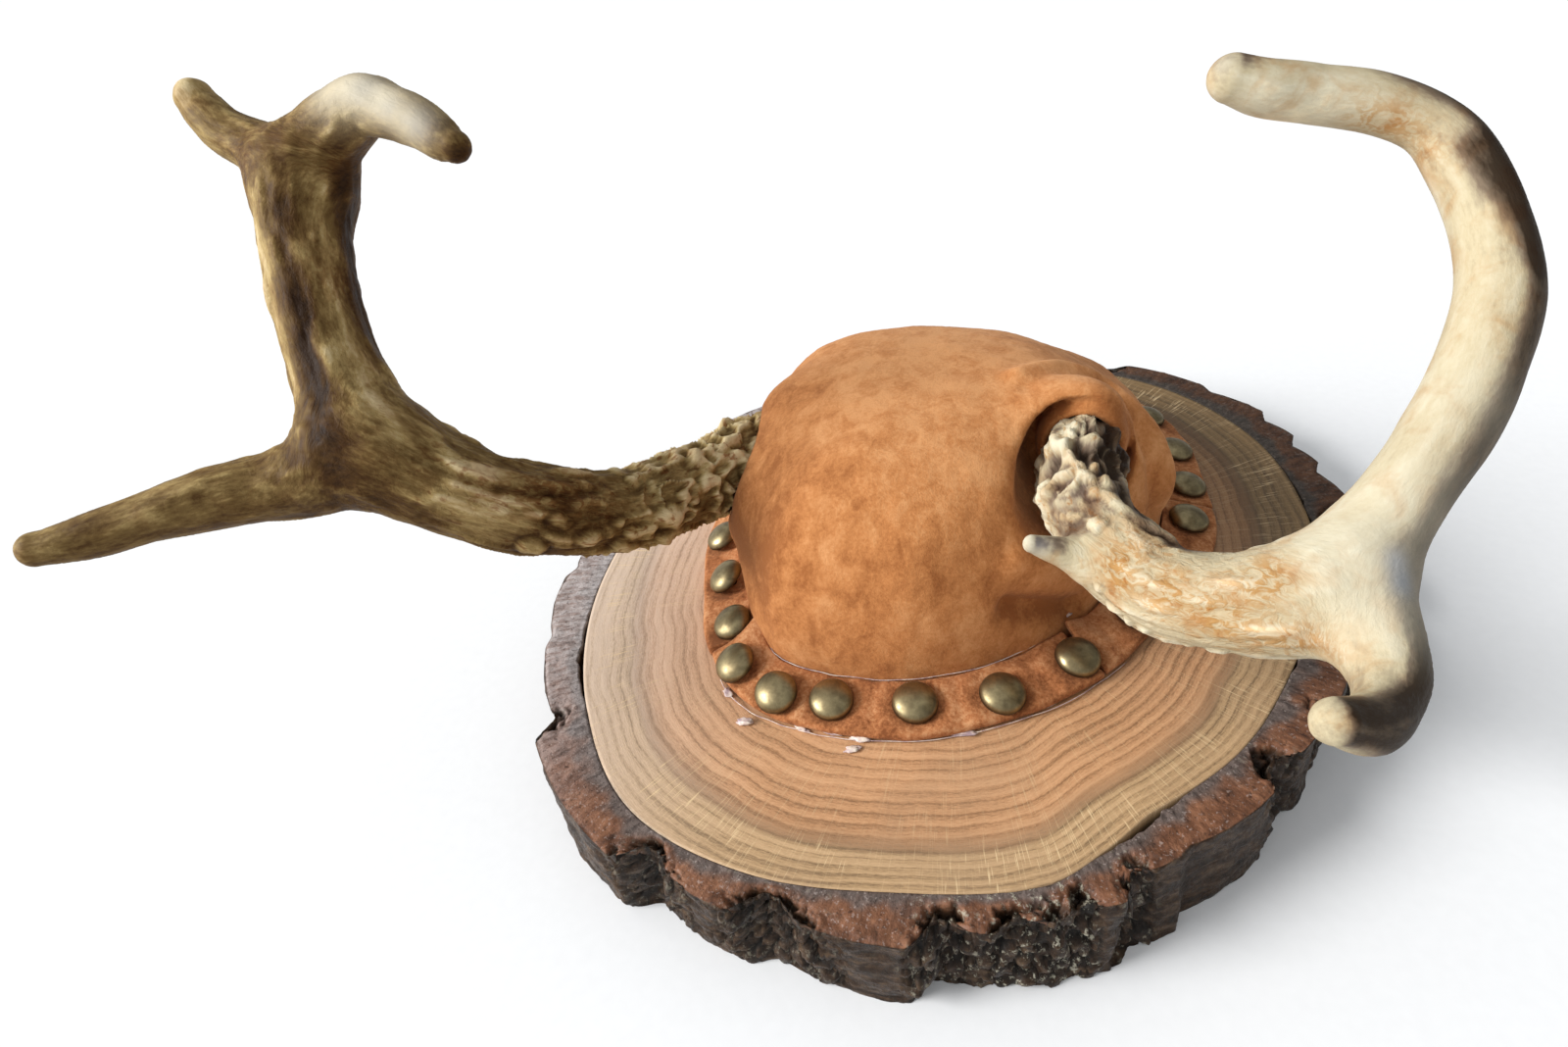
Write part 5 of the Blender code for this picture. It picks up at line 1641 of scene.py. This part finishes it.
def antler(name, stations, burr, nodes, style, material):
    """One antler: its skin, its grooves, pearls and burr, and the values its material reads."""
    branches = {}
    for key, listed in stations.items():
        branches[key] = Branch(listed, list(branches.values()))
    piece = antler_skin(name, branches)
    points = mesh_points(piece.data)
    normals = mesh_normals(piece.data)
    height, relief, rough, grain = grown_bone(points, branches, burr, style)
    bent = points + 0.75 * np.column_stack([noise(points, 2.8, 81 + 3 * k, 2) for k in range(3)])
    rise, tops, moats = raised(bent, style["ridges"])
    depth, pits = sunk(bent, style["hollows"])
    height = height * (1 - 0.7 * tops) + rise - 0.12 * moats - depth
    relief = relief * (1 - tops) + 1.3 * tops - 0.6 * moats - 1.2 * pits
    # The tone spots and paths are partly the bone's own patches and partly painted light and shade.
    masks = {key: near_spots(points, style[key]) for key in ("tone", "warm", "blue", "ivory", "ash")}
    for path, spread, amount in style["tone_paths"]:
        masks["tone"] += amount * bell(from_path(points, path), spread)
    # Painted shade: the faces that look the given way are darkened, as if turned from the light.
    way, low, high, amount = style["painted_side_shade"]
    masks["tone"] += amount * step_up(normals @ np.array(way), low, high)
    masks["relief"] = relief * (1 - style["softened"] * np.clip(masks["ash"], 0, 1))
    masks["ash"] *= step_up(-relief, -0.3, 0.6)
    masks["rough"] = rough
    write_values(piece.data, grain=grain, **{key: np.clip(mask, -1.4, 1.4) for key, mask in masks.items()})
    move_points(piece.data, points + normals * height[:, None])
    face_out(piece.data)
    finish_piece(piece, material, "antler", *nodes)


def roughness(key, along, from_burr, branch, style):
    """How rough the bone is: the beam's falls off from its burr, and a tine's to its tip."""
    if key == "beam":
        return np.interp(from_burr, *style["rough"])
    if key == "upper_beam":
        return np.full(len(along), style["upper_rough"])
    return 0.10 + style["tine_rough"] * (1 - step_up(along, branch.length * 0.35, branch.length))


def bone_relief(key, along, x, y, from_burr, branch, style):
    """How far the bone stands out on one branch, its local relief from -1 to 1, and its roughness."""
    rough = roughness(key, along, from_burr, branch, style)
    seed = style["seed"]
    run = along + branch.start
    flow = drawn_out(run, x, y, 1.6)
    mottle = noise(drawn_out(run, x, y, 2.6), 3.0, seed + 1, 2)
    lines = noise(drawn_out(run, x, y, 7), 2.2, seed + 2, 2)
    field = mottle + 0.7 * (np.abs(mottle) - 0.3) + 0.9 * (np.abs(lines) - 0.3) + 0.5 * lines
    pearly = (1 - step_up(from_burr, *style["pearl_reach"])) * step_up(from_burr, -6.0, 0.0)
    crease = noise(flow, style["ridge_size"], seed + 6) + 0.3 * noise(flow, 1.9, seed + 7)
    ridged = 2.3 * np.clip(1 - 2.6 * np.abs(crease), 0.0, 1.0) ** 1.2 - 0.95
    field = field + (ridged - field) * 0.85 * pearly
    height = 0.3 * noise(flow, 9.0, seed, 2) + rough * style["depth"] * field
    relief = field * np.clip(rough * 1.5, 0.25, 1.0)
    bent = flow + 0.7 * np.column_stack([noise(flow, 2.4, seed + 10 + k, 2) for k in range(3)])
    near, _, label = scattered(bent, style["pearl_size"], seed + 3)
    present = step_up(label + 0.8 * pearly, 0.75, 1.1) * pearly
    pearl = np.clip(1 - (near / (0.44 + 0.14 * label)) ** 2, 0, 1) ** 1.3 * present
    height += style["pearl"] * pearl
    relief = np.maximum(relief * (1 + 0.5 * pearly), 1.4 * pearl)
    centre, reach, rise = style["crown"]
    crown = bell(from_burr - centre, reach, 4)
    wander = 2.4 * noise(drawn_out(run, x, y, 3), 5.0, seed + 4, 2)
    teeth = np.abs(np.sin(np.arctan2(y, x) * 4.5 + wander))
    height += crown * (rise * teeth**0.8 - 0.6 * rise)
    relief = relief * (1 - crown) + crown * (2.2 * teeth**1.5 - 1.2)
    return height, relief, rough


def left_antler():
    """The olive-brown antler with five branches."""
    nodes = [f"left_{part}" for part in ("beam", "forward_tine", "upper_beam", "back_tine", "inner_tine")]
    bone = ("olive_bone", OLIVE_BONE, OLIVE_STAIN, OLIVE_POLISH)
    material = antler_material(*bone, speckle=0.34, wrinkle=0.7, cloudy=0.3)
    antler("left_antler", LEFT_BRANCHES, LEFT_BURR, nodes, LEFT_STYLE, material)


def right_antler():
    """The ivory antler, whose beam carries a short brow tine."""
    nodes = [f"right_{part}" for part in ("beam", "forward_tine", "upper_beam")]
    bone = ("ivory_bone", IVORY_BONE, IVORY_STAIN, IVORY_POLISH)
    material = antler_material(*bone, speckle=0.15, wrinkle=0.9, cloudy=0.5)
    antler("right_antler", RIGHT_BRANCHES, RIGHT_BURR, nodes, RIGHT_STYLE, material)


def main():
    """Make the view, the light, the floor and every piece."""
    add_camera()
    add_sun()
    add_sky()
    add_floor()
    wood_slice()
    bark_ring()
    suede_cover()
    suede_bands()
    glue()
    tacks()
    left_antler()
    right_antler()


main()
